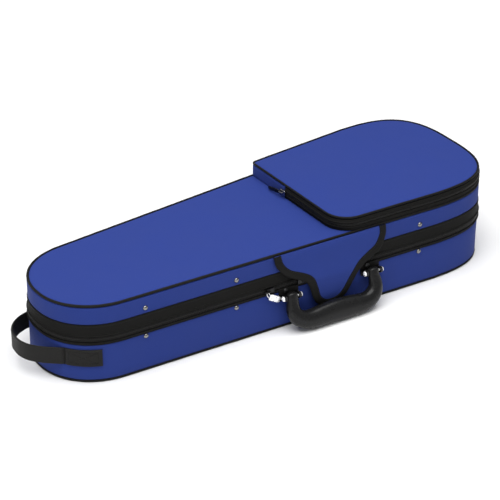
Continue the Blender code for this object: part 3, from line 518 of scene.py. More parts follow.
def weld(obj, outwards=False):
    """Coinciding points joined and, if asked, all faces turned outwards."""
    bm = bmesh.new()
    bm.from_mesh(obj.data)
    bmesh.ops.remove_doubles(bm, verts=bm.verts, dist=1e-6)
    bmesh.ops.dissolve_degenerate(bm, edges=bm.edges, dist=1e-7)
    if outwards:
        bmesh.ops.recalc_face_normals(bm, faces=bm.faces)
    bm.to_mesh(obj.data)
    bm.free()
    return obj


def placed(grid, matrix):
    moved = grid.reshape(-1, 3) @ np.array(matrix.to_3x3()).T + np.array(matrix.translation)
    return moved.reshape(grid.shape)


def circle(count):
    return np.arange(count) * 2 * math.pi / count


def sweep(name, run, section, paint, wobble=0.0, dents=(), sharp=40.0):
    """A closed section of (out, z) points carried along a run, with a little unevenness in its outer side."""
    section = np.array(section, float)
    grid = np.stack([run.at(out, z) for out, z in section], axis=1)
    if wobble or dents:
        outer = section[:, 0] > section[:, 0].mean()
        for i in range(len(grid)):
            push = run.normals[i]
            for j in np.flatnonzero(outer):
                point = Vector(grid[i, j])
                shift = wobble * noise.noise(point * WALL_RATE)
                for centre, depth, radius in dents:
                    shift -= depth * math.exp(-((point - centre).length / radius) ** 2)
                grid[i, j, :2] += push * shift
    return skin(name, grid, paint, (run.closed, True), along=run.along, sharp=sharp)


def cord(name, run, out, z, radius, paint, sides=12, wobble=0.00012):
    """A round cord beside a run, with a slightly uneven surface."""
    angles = circle(sides)
    section = np.stack([out + radius * np.cos(angles), z + radius * np.sin(angles)], axis=1)
    grid = np.stack([run.at(a, b) for a, b in section], axis=1)
    centre = run.at(out, z)
    for i in range(len(grid)):
        swell = 1.0 + wobble / radius * noise.noise(Vector(centre[i]) * CORD_RATE)
        grid[i] = centre[i] + (grid[i] - centre[i]) * swell
    return skin(name, grid, paint, (run.closed, True), along=run.along)


BEAD = np.array([(-1.0, 0.35), (-0.72, 0.9), (0.0, 1.0), (0.72, 0.9), (1.0, 0.35)])


def beads(name, centres, along, up, half_length, radius, paint, flat=0.8, sides=6):
    """Many small rounded bars in one mesh, as zip teeth or stitches."""
    across = np.cross(along, up)
    local = np.array([
        (x * half_length, r * radius * math.cos(a), r * radius * flat * math.sin(a))
        for x, r in BEAD for a in circle(sides)
    ])
    points = (
        centres[:, None] + along[:, None] * local[None, :, :1]
        + across[:, None] * local[None, :, 1:2] + up[:, None] * local[None, :, 2:]
    )
    size = len(BEAD) * sides
    one = []
    for ring in range(0, size - sides, sides):
        for k in range(sides):
            a, b = ring + k, ring + (k + 1) % sides
            one.append([a, b, b + sides, a + sides])
    one += [list(range(sides))[::-1], list(range(size - sides, size))]
    if volume(points[0], one) < 0:
        one = [face[::-1] for face in one]
    points = points.reshape(-1, 3)
    faces = [[v + i * size for v in face] for i in range(len(centres)) for face in one]
    uvs = [tuple(points[v, :2]) for face in faces for v in face]
    return new_object(name, points, faces, paint, uvs, sharp=60.0)


def stitches(name, line, up, pitch=0.0032, radius=0.00028):
    """Thread along a line of 3D points, with up pointing away from the cloth."""
    share, reach = 0.72, 0.0005
    along = lengths(line)
    count = max(1, int(along[-1] / pitch))
    at = (np.arange(count) + 0.5) * along[-1] / count
    heading = unit(sample(at + reach, along, line) - sample(at - reach, along, line))
    lift = unit(sample(at, along, up))
    return beads(name, sample(at, along, line), heading, lift, pitch * share / 2, radius, "thread")


def joined(name, *objects):
    """Several meshes as one piece."""
    with bpy.context.temp_override(active_object=objects[0], selected_editable_objects=list(objects)):
        bpy.ops.object.join()
    objects[0].name = name
    return objects[0]


def disc(name, run, spine, heights, paint, wave=0.0, down=False):
    """A panel as rings that shrink from a run onto a line along X, with heights as (share inwards, z)."""
    edge = run.points
    target = np.stack([np.clip(edge[:, 0], *spine), np.zeros(len(edge))], axis=1)
    rows = []
    for share, z in heights:
        flat = edge * (1 - share) + target * share
        row = np.column_stack([flat, np.full(len(flat), z)])
        if wave and share > 0.03:
            for point in row:
                point[2] += wave * noise.noise(Vector((point[0] * PANEL_RATE, point[1] * PANEL_RATE, 1.7)))
        rows.append(row)
    grid = np.stack(rows, axis=1)
    made = skin(name, grid, paint, (True, False), uvs=grid[:, :, :2])
    if (made.data.polygons[len(made.data.polygons) // 2].normal.z < 0) != down:
        made.data.flip_normals()
    return weld(made)


def front(along, out, z):
    return FRONT_ORIGIN + FRONT_ALONG * along + FRONT_OUT * out + UP * z


def front_matrix(along, out, z):
    """X along the wall, Y up, Z outwards."""
    turn = Matrix((FRONT_ALONG, UP, FRONT_OUT)).transposed()
    return Matrix.Translation(front(along, out, z)) @ turn.to_4x4()


def lathe(name, profile, matrix, paint, sides=28):
    """A turned solid about its own Z, from (radius, z) pairs."""
    grid = np.array([[(r * math.cos(a), r * math.sin(a), z) for r, z in profile] for a in circle(sides)])
    return weld(skin(name, placed(grid, matrix), paint, (True, False), sharp=35.0), outwards=True)


def rounded_slab(name, corners, thickness, matrix, paint, edge=0.0006, corner=0.0, puff=0.0, rows=10):
    """A plate with rounded edges on a convex outline in its XY plane, from z = 0 upwards."""
    ring = [Vector(point) for point in corners]
    if corner:
        around = zip(ring[-1:] + ring[:-1], ring, ring[1:] + ring[:1])
        ring = [point for trio in around for point in fillet(*trio, corner, 6)]
    run = Run(ring, True, 0.0008 if corner else 0.0010)
    centre = run.points.mean(axis=0)
    # Each level is (share of the way to the middle, inset, z), from below to above.
    levels = [(share, edge * 0.9, 0.0) for share in (1.0, 0.5, 0.0)]
    levels += [(0.0, 0.0, edge), (0.0, 0.0, thickness - edge)]
    levels += [(0.0, edge * 0.3, thickness - edge * 0.3), (0.0, edge, thickness)]
    for share in np.arange(1, rows + 1) / rows:
        levels.append((share, edge * (1 - share), thickness + puff * math.sin(share * math.pi / 2)))
    stack = []
    for share, inset, z in levels:
        flat = (run.points - run.normals * inset) * (1 - share) + centre * share
        stack.append(np.column_stack([flat, np.full(len(flat), z)]))
    grid = np.stack(stack, axis=1)
    made = skin(name, placed(grid, matrix), paint, (True, False), uvs=grid[:, :, :2])
    return weld(made, outwards=True)


def tube(line, heading, side, wide, thick, count):
    """Rings of an oval section along a line: wide across side, and thick along it."""
    grid = []
    for point, run in zip(line, heading):
        across = np.cross(run, side)
        grid.append([point + across * wide * math.cos(a) + side * thick * math.sin(a) for a in circle(count)])
    return np.array(grid)


def mirrored(points):
    """Points, and then their mirror images across y = 0 on the way back."""
    return points + [(x, -y) for x, y in reversed(points)]


def rectangle(half_x, half_y):
    return [(-half_x, -half_y), (half_x, -half_y), (half_x, half_y), (-half_x, half_y)]


# Shell.

OUTLINE = case_outline()
WALL = Run(OUTLINE)


def on_rear_flank(run):
    """Which points of a run lie on the straight rear wall."""
    rear_out = np.array((FRONT_OUT.x, -FRONT_OUT.y))
    reach = run.points @ rear_out
    straight = np.abs(run.normals[:, 1] - rear_out[1]) < 2e-4
    return straight & (run.points[:, 1] > 0) & (reach.max() - reach < 0.0015)


def piping_and_skins():
    """Cloth on the walls, dented round the rivets, the two flat panels, and the piping on their edges."""
    dents = [(front(a, 0.0, z), 0.0005, 0.0045) for a in RIVET_ALONG for z in (RIVET_LOW, RIVET_HIGH)]
    # body, lower and upper edges of its cloth, height of its piping
    sides = (("base", 0.0033, 0.0493, PIPING), ("lid", 0.0767, 0.0984, LID_TOP + 0.0003 - PIPING))
    for body, low, high, piping_z in sides:
        rise = np.linspace(low + 0.0012, high - 0.0012, 9)
        section = [(CLOTH_BACK, low), (-CLOTH_OUT, low), (0.0001, low + 0.0005)]
        section += [(CLOTH_OUT, z) for z in rise]
        section += [(0.0001, high - 0.0005), (-CLOTH_OUT, high), (CLOTH_BACK, high)]
        wall = sweep(f"skin_{body}_side", WALL, section, "blue", wobble=0.00028, dents=dents)
        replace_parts(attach(wall, body), f"{body}_side_cover")
        rope = cord(f"piping_{body}", WALL, -PIPING + 0.0004, piping_z, PIPING + 0.0001, "piping")
        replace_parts(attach(rope, body), f"{body}_piping")
    top = [(0.0, LID_TOP - 0.0022), (0.006, LID_TOP - 0.0007), (0.02, LID_TOP - 0.0002)]
    shares = (0.05, 0.10, 0.18, 0.28, 0.40, 0.52, 0.64, 0.76, 0.88, 1.0)
    top += [(share, LID_TOP + 0.0002) for share in shares]
    edge = Run(inset_ring(OUTLINE, 0.0024))
    lid = disc("skin_lid_top", edge, SPINE, top, "blue", wave=0.0005)
    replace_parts(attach(lid, "lid"), "lid_top_cover")
    under = [(0.0, 0.0022), (0.006, 0.0008), (0.02, 0.0003)]
    under += [(share, 0.0002) for share in (0.05, 0.12, 0.3, 0.5, 0.7, 0.9, 1.0)]
    base = disc("skin_base_bottom", edge, SPINE, under, "blue", down=True)
    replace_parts(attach(base, "base"), "base_bottom")


def zip_band():
    """Tapes with a welt beside the teeth, stitch rows, and the teeth themselves."""
    zipped = WALL.kept(~on_rear_flank(WALL))
    back, gap = -0.0011, 0.0036
    # The welt: (out, distance from the tape's inner edge).
    welt = ((0.0008, 0.0), (0.0019, 0.0002), (0.0022, 0.0007), (0.0019, 0.0013), (0.0010, 0.0017))
    # body, up or down, tape's outer edge, steps across its flat, stitch rows' distances from that edge
    sides = (("base", -1, BAND_LOW, 4, (0.0022,)), ("lid", 1, BAND_HIGH, 8, (0.0022, 0.0125)))
    for body, flip, edge, steps, rows in sides:
        near = SEAM + flip * gap
        section = [(back, near)] + [(out, near + flip * rise) for out, rise in welt]
        flat = np.linspace(near + flip * 0.0024, edge - flip * 0.0008, steps)
        section += [(0.0009, z) for z in flat] + [(0.0006, edge - flip * 0.0002), (back, edge)]
        tape = sweep(f"zip_tape_{body}", zipped, section, "tape", wobble=0.00015)
        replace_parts(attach(tape, body), f"{body}_zip_tape")
        high, low = SEAM + flip * 0.0035, SEAM + flip * 0.0004
        strip = [(back, high), (CLOTH_OUT, high), (CLOTH_OUT, low), (back, low)]
        ribbon = sweep(f"zip_ribbon_{body}", zipped, strip, "tape")
        teeth = zip_teeth(f"zip_teeth_{body}", zipped, 0.0008, SEAM, flip, 0.0021, 0.0017, 0.00062)
        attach(ribbon, body)
        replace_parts(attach(teeth, body), f"{body}_zip_coil")
        for number, inset in enumerate(rows, start=1):
            line = zipped.at(0.00105, edge - flip * inset)
            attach(stitches(f"tape_stitching_{body}_{number}", line, zipped.outwards()), body)


def zip_teeth(name, run, out, z, flip, pitch, reach, radius):
    """One side's teeth, half a pitch out of step with the other side's."""
    count = int(run.along[-1] / pitch)
    at = (np.arange(count) + (0.25 if flip > 0 else 0.75)) * pitch
    place = sample(at, run.along, run.at(out, z + flip * reach * 0.72))
    outward = unit(sample(at, run.along, run.outwards()))
    upright = np.tile([0.0, 0.0, 1.0], (count, 1))
    return beads(name, place, upright, outward, reach, radius, "coil", flat=0.9)


def rear_gusset():
    """One folded strip of cloth down the rear wall that the lid turns on."""
    straight = on_rear_flank(WALL)
    flank = WALL.kept(straight | np.roll(straight, 1) | np.roll(straight, -1))
    rise = np.linspace(BAND_LOW + 0.0006, BAND_HIGH - 0.0006, 25)
    back, ridge, spread = -0.0010, 0.0005, 0.0022
    outer = [(0.0007 + ridge * math.exp(-(((z - SEAM) / spread) ** 2)), z) for z in rise]
    section = [(back, BAND_LOW), (CLOTH_OUT, BAND_LOW)] + outer + [(CLOTH_OUT, BAND_HIGH), (back, BAND_HIGH)]
    section += [(back, z) for z in rise[::-1]]
    strip = sweep("rear_gusset", flank, section, "tape", wobble=0.0002)
    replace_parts(strip, "base_gusset", "lid_gusset")
    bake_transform(strip)
    for body, z in (("base", BAND_LOW + 0.0020), ("lid", BAND_HIGH - 0.0020)):
        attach(stitches(f"gusset_stitching_{body}", flank.at(0.00095, z), flank.outwards()), body)


def rivets():
    """A domed head outside the wall and a flat one inside it, on one shank."""
    dome = [
        (0.0, 0.0021), (0.0010, 0.0020), (0.0020, 0.0016), (0.0028, 0.0009), (0.0032, 0.0002), (0.0032, 0.0),
        (0.0012, 0.0), (0.0012, -0.0070), (0.0024, -0.0070), (0.0024, -0.0078), (0.0, -0.0080),
    ]
    for body, z in (("base", RIVET_LOW), ("lid", RIVET_HIGH)):
        for number, along in enumerate(RIVET_ALONG, start=1):
            made = lathe(f"rivet_{body}_{number}", dome, front_matrix(along, 0.0002, z), "nickel")
            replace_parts(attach(made, body), f"{body}_rivet_{number}")
    for name, side in SIDES:
        place = front_matrix(side * POST_ALONG + PAD_RIVET_ALONG, 0.0027, PAD_RIVET_Z)
        made = lathe(f"rivet_pad_{name}", dome, place, "blackened")
        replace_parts(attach(made, "base"), f"patch_rivet_{name}")


# Front flap.


class FlapSurface:
    """Places on the flap, from (along, distance down its path, height above its back)."""

    def __init__(self):
        self.path = smooth_line(FLAP_PATH, 10)
        self.down = lengths(self.path)
        self.heading = unit(np.gradient(self.path, axis=0))
        self.length = self.down[-1]
        half = smooth_line([(self.drop(z), width) for z, width in FLAP_HALF], 5)
        self.drops, self.widths = half[:, 0], half[:, 1]

    def drop(self, z):
        return float(np.interp(-z, -self.path[:, 1], self.down))

    def place(self, along, drop, height):
        out, z = (np.interp(drop, self.down, self.path[:, k]) for k in (0, 1))
        out_turn, z_turn = (np.interp(drop, self.down, self.heading[:, k]) for k in (0, 1))
        lean = np.interp(z, *zip(*FLAP_LEAN))
        return tuple(front(along + lean, out - z_turn * height, z + out_turn * height))

    def outline(self):
        """The edge's (along, drop) points from top left round the tip, outward normals, and distances."""
        left = np.stack([-self.widths, self.drops], axis=1)
        right = np.stack([self.widths[::-1], self.drops[::-1]], axis=1)
        run = Run(np.vstack([left, right[1:]]), False, 0.0016)
        sign = -1.0 if run.normals[0, 0] > 0 else 1.0
        return run.points, run.normals * sign, run.along


def flap():
    """A padded face, closed at its back, with a bound and stitched edge. Its tongue begins at the fold."""
    surface = FlapSurface()
    tip = 1 - 0.16 * (1 - np.linspace(0, 1, 14)[1:]) ** 2
    drops = surface.length * np.concatenate([np.linspace(0.0, 0.84, 34), tip])
    widths = np.interp(drops, surface.drops, surface.widths)
    widths[-1] = 0.0004
    across = np.sin(np.linspace(-1, 1, 41) * math.pi / 2)
    inner, face_height, back_height, swell = 0.0012, 0.0019, 0.0003, 0.0005
    grid = []
    for drop, width in zip(drops, np.maximum(widths - inner, 0.0003)):
        face = []
        for along in across * width:
            lump = swell * noise.noise(Vector((along * FLAP_RATE, drop * FLAP_RATE, 4.2)))
            face.append(surface.place(along, drop, face_height + lump))
        back = [surface.place(along, drop, back_height) for along in across[::-1] * width]
        grid.append(face + back)
    there_and_back = np.concatenate([across, across[::-1]])
    uvs = [[(share * width, drop) for share in there_and_back] for drop, width in zip(drops, widths)]
    face = skin("flap_face", np.array(grid), "blue", (False, True), uvs=uvs)
    blade = flap_edge(surface)
    sewn = flap_stitching(surface)
    for piece in (face, blade, sewn):
        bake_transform(piece)
    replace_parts(face, "front_flap", "flap_tongue")


def flap_edge(surface):
    """The black binding folded over the flap's edge."""
    section = [
        (BINDING, 0.0017), (BINDING - 0.0002, 0.0024), (BINDING - 0.0012, 0.0026), (BINDING * 0.6, 0.0027),
        (0.0022, 0.0027), (0.0009, 0.0024), (0.0001, 0.0018), (-0.0003, 0.0010), (0.0001, 0.0002),
        (0.0012, -0.0002), (BINDING * 0.5, -0.0002), (BINDING, -0.0001),
    ]
    points, normals, along = surface.outline()
    grid = []
    for (x, drop), (turn_x, turn_drop) in zip(points, normals):
        row = [surface.place(x - turn_x * w, max(drop - turn_drop * w, 0.0), h) for w, h in section]
        grid.append(row)
    return skin("flap_binding", np.array(grid), "binding", (False, True), along=along)


def flap_stitching(surface):
    points, normals, _ = surface.outline()
    spots = points - normals * (BINDING - 0.0014)
    line, lifted = (
        np.array([surface.place(along, max(drop, 0.0), height) for along, drop in spots])
        for height in (0.00275, 0.00375)
    )
    return stitches("flap_stitching", line, lifted - line)


def flap_patches():
    """Hook and loop squares under the tongue."""
    under = front_matrix(0.0, CLOTH_OUT, 0.0300)
    loop = rounded_slab("loop_square", rectangle(0.0168, 0.0088), 0.0019, under, "fuzz", corner=0.0012)
    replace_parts(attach(loop, "base"), "loop_patch")
    low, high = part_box("hook_patch")
    path = smooth_line(FLAP_PATH, 10)
    spot = path[np.argmin(np.abs(path[:, 1] - (low.z + high.z) / 2))]
    # The tongue's back slopes in by 3.5 mm over 37.4 mm of its height.
    tilt = math.atan2(0.0035, 0.0374)
    behind = front_matrix(0.0, spot[0] - 0.0019, spot[1]) @ Matrix.Rotation(tilt, 4, "X")
    hook = rounded_slab("hook_square", rectangle(0.0148, 0.0068), 0.0015, behind, "fuzz", corner=0.0012)
    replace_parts(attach(hook, "tongue"), "hook_patch")


# Handle.


def handle():
    """A moulded grip with a thicker middle, swept round its U, and a sewn pad under each post."""
    stations = np.array([
        # along, reach, half thickness in the U's plane, half thickness across it
        (0.0570, -0.0053, 0.0040, 0.0028), (0.0570, -0.0044, 0.0058, 0.0041),
        (0.0570, -0.0026, 0.0070, 0.0050), (0.0570, 0.0050, 0.0074, 0.0055),
        (0.0578, 0.0115, 0.0081, 0.0062), (0.0572, 0.0190, 0.0090, 0.0074),
        (0.0530, 0.0265, 0.0101, 0.0084), (0.0450, 0.0316, 0.0110, 0.0091),
        (0.0350, 0.0334, 0.0119, 0.0095), (0.0200, 0.0330, 0.0130, 0.0096), (0.0000, 0.0324, 0.0136, 0.0096),
    ])
    mirrored = stations[:-1][::-1] * np.array([-1, 1, 1, 1])
    line = smooth_line(np.vstack([stations, mirrored]), 6)
    heading = unit(np.gradient(line[:, :2], axis=0))
    centre = front(0.0, PIVOT_OUT, PIVOT_Z)
    down = FRONT_OUT * math.cos(DROOP) - UP * math.sin(DROOP)
    normal = FRONT_OUT * math.sin(DROOP) + UP * math.cos(DROOP)
    # The section is slightly square, with a faint parting line on its inner and outer sides.
    squareness, parting, sides = 2 / 2.25, 0.012, 40

    def rounded(value):
        return math.copysign(abs(value) ** squareness, value)

    grid = []
    for (along, reach, wide, thick), (run_x, run_y) in zip(line, heading):
        ring = []
        for k in range(sides):
            angle = 2 * math.pi * k / sides
            across = wide * rounded(math.cos(angle)) * (1.0 + parting * (k % (sides // 2) == 0))
            x, y, z = along + run_y * across, reach - run_x * across, thick * rounded(math.sin(angle))
            ring.append(tuple(centre + FRONT_ALONG * x + down * y + normal * z))
        grid.append(ring)
    grip = skin("handle_moulding", np.array(grid), "grip", (False, True), sharp=60.0)
    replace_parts(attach(grip, "handle"), "handle_grip")
    shape = rectangle(0.0134, 0.0078)
    for name, side in SIDES:
        place = front_matrix(side * POST_ALONG, 0.0007, 0.0464)
        pad = rounded_slab(f"handle_pad_{name}", shape, 0.0018, place, "binding", corner=0.0030, puff=0.0002)
        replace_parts(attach(pad, "base"), f"handle_patch_{name}")


def pins():
    """A bright pin through each bracket, with a domed head outside each ear."""
    head = [(0.0, 0.0139), (0.0013, 0.0138), (0.0025, 0.0132), (0.0032, 0.0122), (0.0033, 0.0116)]
    profile = mirrored(head + [(0.0014, 0.0116)])
    turn = Matrix((UP, FRONT_OUT, FRONT_ALONG)).transposed().to_4x4()
    for name, side in SIDES:
        centre = Matrix.Translation(front(side * POST_ALONG, PIVOT_OUT, PIVOT_Z))
        pin = lathe(f"bracket_pin_{name}", profile, centre @ turn, "pin")
        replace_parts(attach(pin, "handle"), f"handle_pin_{name}")


# Zip sliders and pulls.


def slider_piece(name, body, node, matrix, paint="enamel", length=0.0115, lug=0.0):
    """A zip slider: a waisted body with a raised bridge that holds the pull."""
    width, across = 0.0070, np.array((0, 1, 0))
    shape = [(-0.50, -0.34), (-0.42, -0.46), (-0.10, -0.40), (0.20, -0.47), (0.46, -0.50), (0.50, -0.42)]
    outline = [(x * length, y * width) for x, y in mirrored(shape)]
    plate = rounded_slab(name, outline, 0.0026, matrix, paint, edge=0.0007, rows=4)
    rise = [(-0.0036, 0.0018), (-0.0030, 0.0036), (-0.0014, 0.0046)]
    arch = rise + [(-x, z) for x, z in reversed(rise)]
    line = smooth_line([(x + lug, 0.0, z) for x, z in arch], 5)
    rings = tube(line, unit(np.gradient(line, axis=0)), across, 0.0006, 0.0011, 10)
    bridge = skin(f"{name}_bridge", placed(rings, matrix), paint, (False, True))
    made = joined(name, plate, bridge)
    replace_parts(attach(made, body), node)


def pull_piece(name, body, node, matrix, start, cant, length, width, paint):
    """A pull on a wire link: the link's eye is at the origin, and the plate begins at start."""
    half = width / 2
    turn = Matrix.Translation((*start, 0.0)) @ Matrix.Rotation(math.radians(cant), 4, "Z")
    side = [(0.0, -half * 0.66), (half * 0.22, -half * 0.92), (half * 0.7, -half)]
    side += [(length - half * 0.9, -half), (length - half * 0.35, -half * 0.88), (length, -half * 0.55)]
    outline = mirrored(side)
    plate = rounded_slab(name, outline, 0.0014, matrix @ turn, paint, edge=0.0005, rows=4)
    inset = [(length * 0.5 + (x - length * 0.5) * 0.72, y * 0.60) for x, y in outline]
    raised = matrix @ turn @ Matrix.Translation((length * 0.04, 0, 0.0013))
    panel = rounded_slab(f"{name}_panel", inset, 0.0004, raised, paint, edge=0.0002, rows=3)
    centre = matrix @ Matrix.Rotation(math.atan2(start[1], start[0]), 4, "Z")
    link = wire_link(f"{name}_link", Vector(start).length + 0.0012, centre, paint)
    made = joined(name, plate, panel, link)
    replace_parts(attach(made, body), node)


def wire_link(name, reach, matrix, paint):
    """A closed oval of wire in the XY plane of matrix, from just behind its origin out to reach."""
    angles = circle(32)
    x = reach / 2 + (reach / 2 + 0.0012) * np.cos(angles) - 0.0006
    line = np.stack([x, 0.0017 * np.sin(angles), np.full(len(angles), 0.0007)], axis=1)
    heading = unit(np.roll(line, -1, axis=0) - np.roll(line, 1, axis=0))
    rings = tube(line, heading, np.array((0, 0, 1)), 0.0005, 0.0005, 8)
    return skin(name, placed(rings, matrix), paint, (True, True))


def sliders():
    """Two sliders on the main zip and one on the pocket's, each at its rest place with its pull."""
    plate_out, stud_rise = 0.0017, 0.0031
    rest = (
        # name, along, lug, drop of the stud, angle, start of the plate, cant, length, width
        ("left", -0.0830, -0.0045, -0.00245, -42.0, (0.0046, -0.0017), 11.5, 0.0165, 0.0078),
        ("right", -0.0400, 0.0040, 0.0, 0.0, (0.0030, 0.0), 0.0, 0.0150, 0.0062),
    )
    for name, along, lug, drop, angle, start, cant, length, width in rest:
        place = front_matrix(along, plate_out, SEAM)
        slider_piece(f"slider_body_{name}", f"slider_{name}", f"zip_slider_{name}", place, lug=lug)
        stud = front_matrix(along + lug, plate_out + stud_rise, SEAM + drop)
        stud = stud @ Matrix.Rotation(math.radians(angle), 4, "Z")
        pull = (f"slider_tab_{name}", f"pull_{name}", f"zip_pull_{name}")
        pull_piece(*pull, stud, start, cant, length, width, "chrome")
    turn = Matrix(((0, 0, -1, 0), (-1, 0, 0, 0), (0, 1, 0, 0), (0, 0, 0, 1)))
    place = Matrix.Translation((POCKET_LEFT - 0.0011, POCKET_FOLD_Y + 0.002, POCKET_SEAM)) @ turn
    slider_piece("slider_body_pocket", "pocket_slider", "pocket_slider", place, "nickel", 0.0095, -0.0020)
    stud = place @ Matrix.Translation((-0.0030, 0.0, stud_rise))
    stud = stud @ Matrix.Rotation(math.radians(191.0), 4, "Z")
    pull = ("slider_tab_pocket", "pocket_pull", "pocket_pull")
    pull_piece(*pull, stud, (0.0030, 0.0), 0.0, 0.0215, 0.0050, "enamel")


# Pocket.


def pocket():
    """A blue wall at the rear, a zip wall round the rest, and a cover made as one sheet over both of its
    leaves.
    """
    outline = pocket_outline(OUTLINE)
    wall = Run(outline, True, 0.0018)
    behind = wall.kept(wall.points[:, 1] > POCKET_FOLD_Y)
    before = wall.kept(wall.points[:, 1] <= POCKET_FOLD_Y)
    rise = np.linspace(POCKET_LOW + 0.0008, POCKET_ZIP_HIGH - 0.0006, 6)
    section = [(CLOTH_BACK, POCKET_LOW), (-0.0001, POCKET_LOW)] + [(CLOTH_OUT, z) for z in rise]
    section += [(-0.0001, POCKET_ZIP_HIGH), (CLOTH_BACK, POCKET_ZIP_HIGH)]
    rear = sweep("skin_pocket_rear", behind, section, "blue", wobble=0.0002)
    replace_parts(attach(rear, "lid"), "pocket_wall")
    # The welt: (out, distance from the tape's inner edge).
    welt = ((0.0006, 0.0), (0.0014, 0.0003), (0.0015, 0.0009), (0.0008, 0.0015), (0.0004, 0.0024))
    # body, up or down, tape's outer edge, name
    sides = (("lid", -1, POCKET_LOW, "low"), ("pocket_flap", 1, POCKET_ZIP_HIGH, "high"))
    for body, flip, edge, level in sides:
        near, lip = POCKET_SEAM + flip * 0.0022, POCKET_SEAM + flip * 0.0003
        section = [(CLOTH_BACK, near)] + [(out, near + flip * rise) for out, rise in welt]
        section += [(0.0004, edge - flip * 0.0006), (0.0001, edge), (CLOTH_BACK, edge)]
        tape = sweep(f"pocket_tape_{level}", before, section, "tape", wobble=0.0001)
        strip = [(CLOTH_BACK, near), (0.0001, near), (0.0001, lip), (CLOTH_BACK, lip)]
        ribbon = sweep(f"pocket_ribbon_{level}", before, strip, "tape")
        teeth = zip_teeth(f"pocket_teeth_{level}", before, 0.0005, POCKET_SEAM, flip, 0.0016, 0.0011, 0.00046)
        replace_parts(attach(tape, body), f"pocket_zip_{level}")
        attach(ribbon, body)
        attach(teeth, body)
    rope = cord("piping_pocket", wall, -0.0008, POCKET_TOP - 0.0013, 0.0013, "piping")
    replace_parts(rope, "pocket_piping_rear", "pocket_piping_front")
    edge = Run(inset_ring(outline, 0.0020), True, 0.0018)
    levels = [(0.0, POCKET_TOP - 0.0021), (0.006, POCKET_TOP - 0.0009), (0.02, POCKET_TOP - 0.0004)]
    for share in np.linspace(0.05, 1.0, 22):
        levels.append((share, POCKET_TOP - 0.0003 + 0.0008 * math.sin(share * math.pi / 2)))
    cover = disc("pocket_cover", edge, POCKET_SPINE, levels, "blue", wave=0.0006)
    under = [(share, POCKET_COVER_LOW) for share in (0.0, 0.02, *np.linspace(0.05, 1.0, 20))]
    back = disc("pocket_cover_lining", edge, POCKET_SPINE, under, "lining", down=True)
    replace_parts(cover, "pocket_cover_rear", "pocket_cover_front")
    for piece in (rope, cover, back):
        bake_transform(piece)


# End loop.


def end_loop():
    """A webbing loop sewn to the narrow end, with a crease where its front tab begins."""
    outside = inset_ring(OUTLINE, -0.0023)
    centre_x = NARROW_REACH - LENGTH / 2

    def sewn(side, last):
        bearings = sorted((math.degrees(math.atan2(side * p.y, p.x - centre_x)), tuple(p)) for p in outside)
        return [point for angle, point in bearings if 116 < angle < last]

    front_tab, rear_tab = sewn(-1, 150), sewn(1, 141)
    free = [tuple(point) for point in smooth_line(LOOP_POINTS, 10)]
    run = Run((front_tab + free + rear_tab[::-1])[::-1], False, 0.0014)
    middle, half = (LOOP_LOW + LOOP_HIGH) / 2, (LOOP_HIGH - LOOP_LOW) / 2
    # Half of the section: (share of the half width, rounding as a share of the thickness, selvedge's rise).
    selvedge = 0.00018
    outer = [(0.35, 0.0, 0.0), (0.7, 0.0, 0.0), (0.86, 0.0, selvedge), (0.93, 0.0, selvedge)]
    outer += [(0.985, 0.12, 0.0), (1.0, 0.42, 0.0)]
    levels = [(-share, *rest) for share, *rest in reversed(outer)] + [(0.0, 0.0, 0.0)] + outer
    section = [(rise - LOOP_THICK * rounding, middle + half * share) for share, rounding, rise in levels]
    for share, rounding, _ in reversed(levels):
        section.append((LOOP_THICK * (rounding - 1.0), middle + half * share))
    length = run.along[-1]
    front_length, rear_length = (lengths(np.array(tab))[-1] for tab in (front_tab, rear_tab))
    spot = int(np.argmin(np.abs(run.along - (length - front_length))))
    crease = [(Vector(run.at(0.0, z)[spot]), 0.0011, 0.0017) for z in np.linspace(LOOP_LOW, LOOP_HIGH, 14)]
    strap = sweep("strap_loop", run, section, "webbing", wobble=0.00018, dents=crease)
    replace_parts(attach(strap, "base"), "end_loop")
    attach(box_stitching("loop_stitching_front", run, length - front_length, length, middle, half), "base")
    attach(box_stitching("loop_stitching_rear", run, 0.0, rear_length, middle, half), "base")


def box_stitching(name, run, start, stop, middle, half):
    """A box with a cross in it, sewn through one end of the strap."""
    low, high = start + 0.0045, stop - 0.0045
    tall = half - 0.0040
    corners = [(low, -tall), (high, -tall), (high, tall), (low, tall)]
    corners += [(low, -tall), (high, tall), (high, -tall), (low, tall)]
    spots = []
    for (a, b), (c, d) in zip(corners, corners[1:]):
        steps = max(2, int(math.hypot(c - a, d - b) / 0.0008))
        spots += [(a + (c - a) * k / steps, b + (d - b) * k / steps) for k in range(steps)]
    at, rise = np.array(spots).T
    line = sample(at, run.along, run.at(0.00018, middle))
    line[:, 2] += rise
    up = sample(at, run.along, run.outwards())
    return stitches(name, line, up, pitch=0.0026, radius=0.00045)


# Interior.


def soft_copy(name, node, voxel, passes, swell):
    """A plush piece grown from the CAD solid it replaces: remeshed, relaxed and made a little uneven."""
    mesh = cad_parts[node].data.copy()
    mesh.materials.clear()
    mesh.materials.append(PAINTS["plush"])
    obj = linked(name, mesh)
    remesh = obj.modifiers.new("remesh", "REMESH")
    remesh.mode = "VOXEL"
    remesh.voxel_size = voxel
    relax = obj.modifiers.new("relax", "SMOOTH")
    relax.factor = 0.5
    relax.iterations = passes
    baked = bpy.data.meshes.new_from_object(obj.evaluated_get(bpy.context.evaluated_depsgraph_get()))
    obj.modifiers.clear()
    obj.data = baked
    normals = np.zeros(len(baked.vertices) * 3, np.float32)
    baked.vertices.foreach_get("normal", normals)
    points = np.array([tuple(vertex.co) for vertex in baked.vertices])
    lumps = 0.0004
    shift = np.array([swell + lumps * noise.noise(Vector(point) * PLUSH_RATE) for point in points])
    moved = points + normals.reshape(-1, 3) * shift[:, None]
    baked.vertices.foreach_set("co", moved.astype(np.float32).ravel())
    baked.shade_smooth()
    return obj


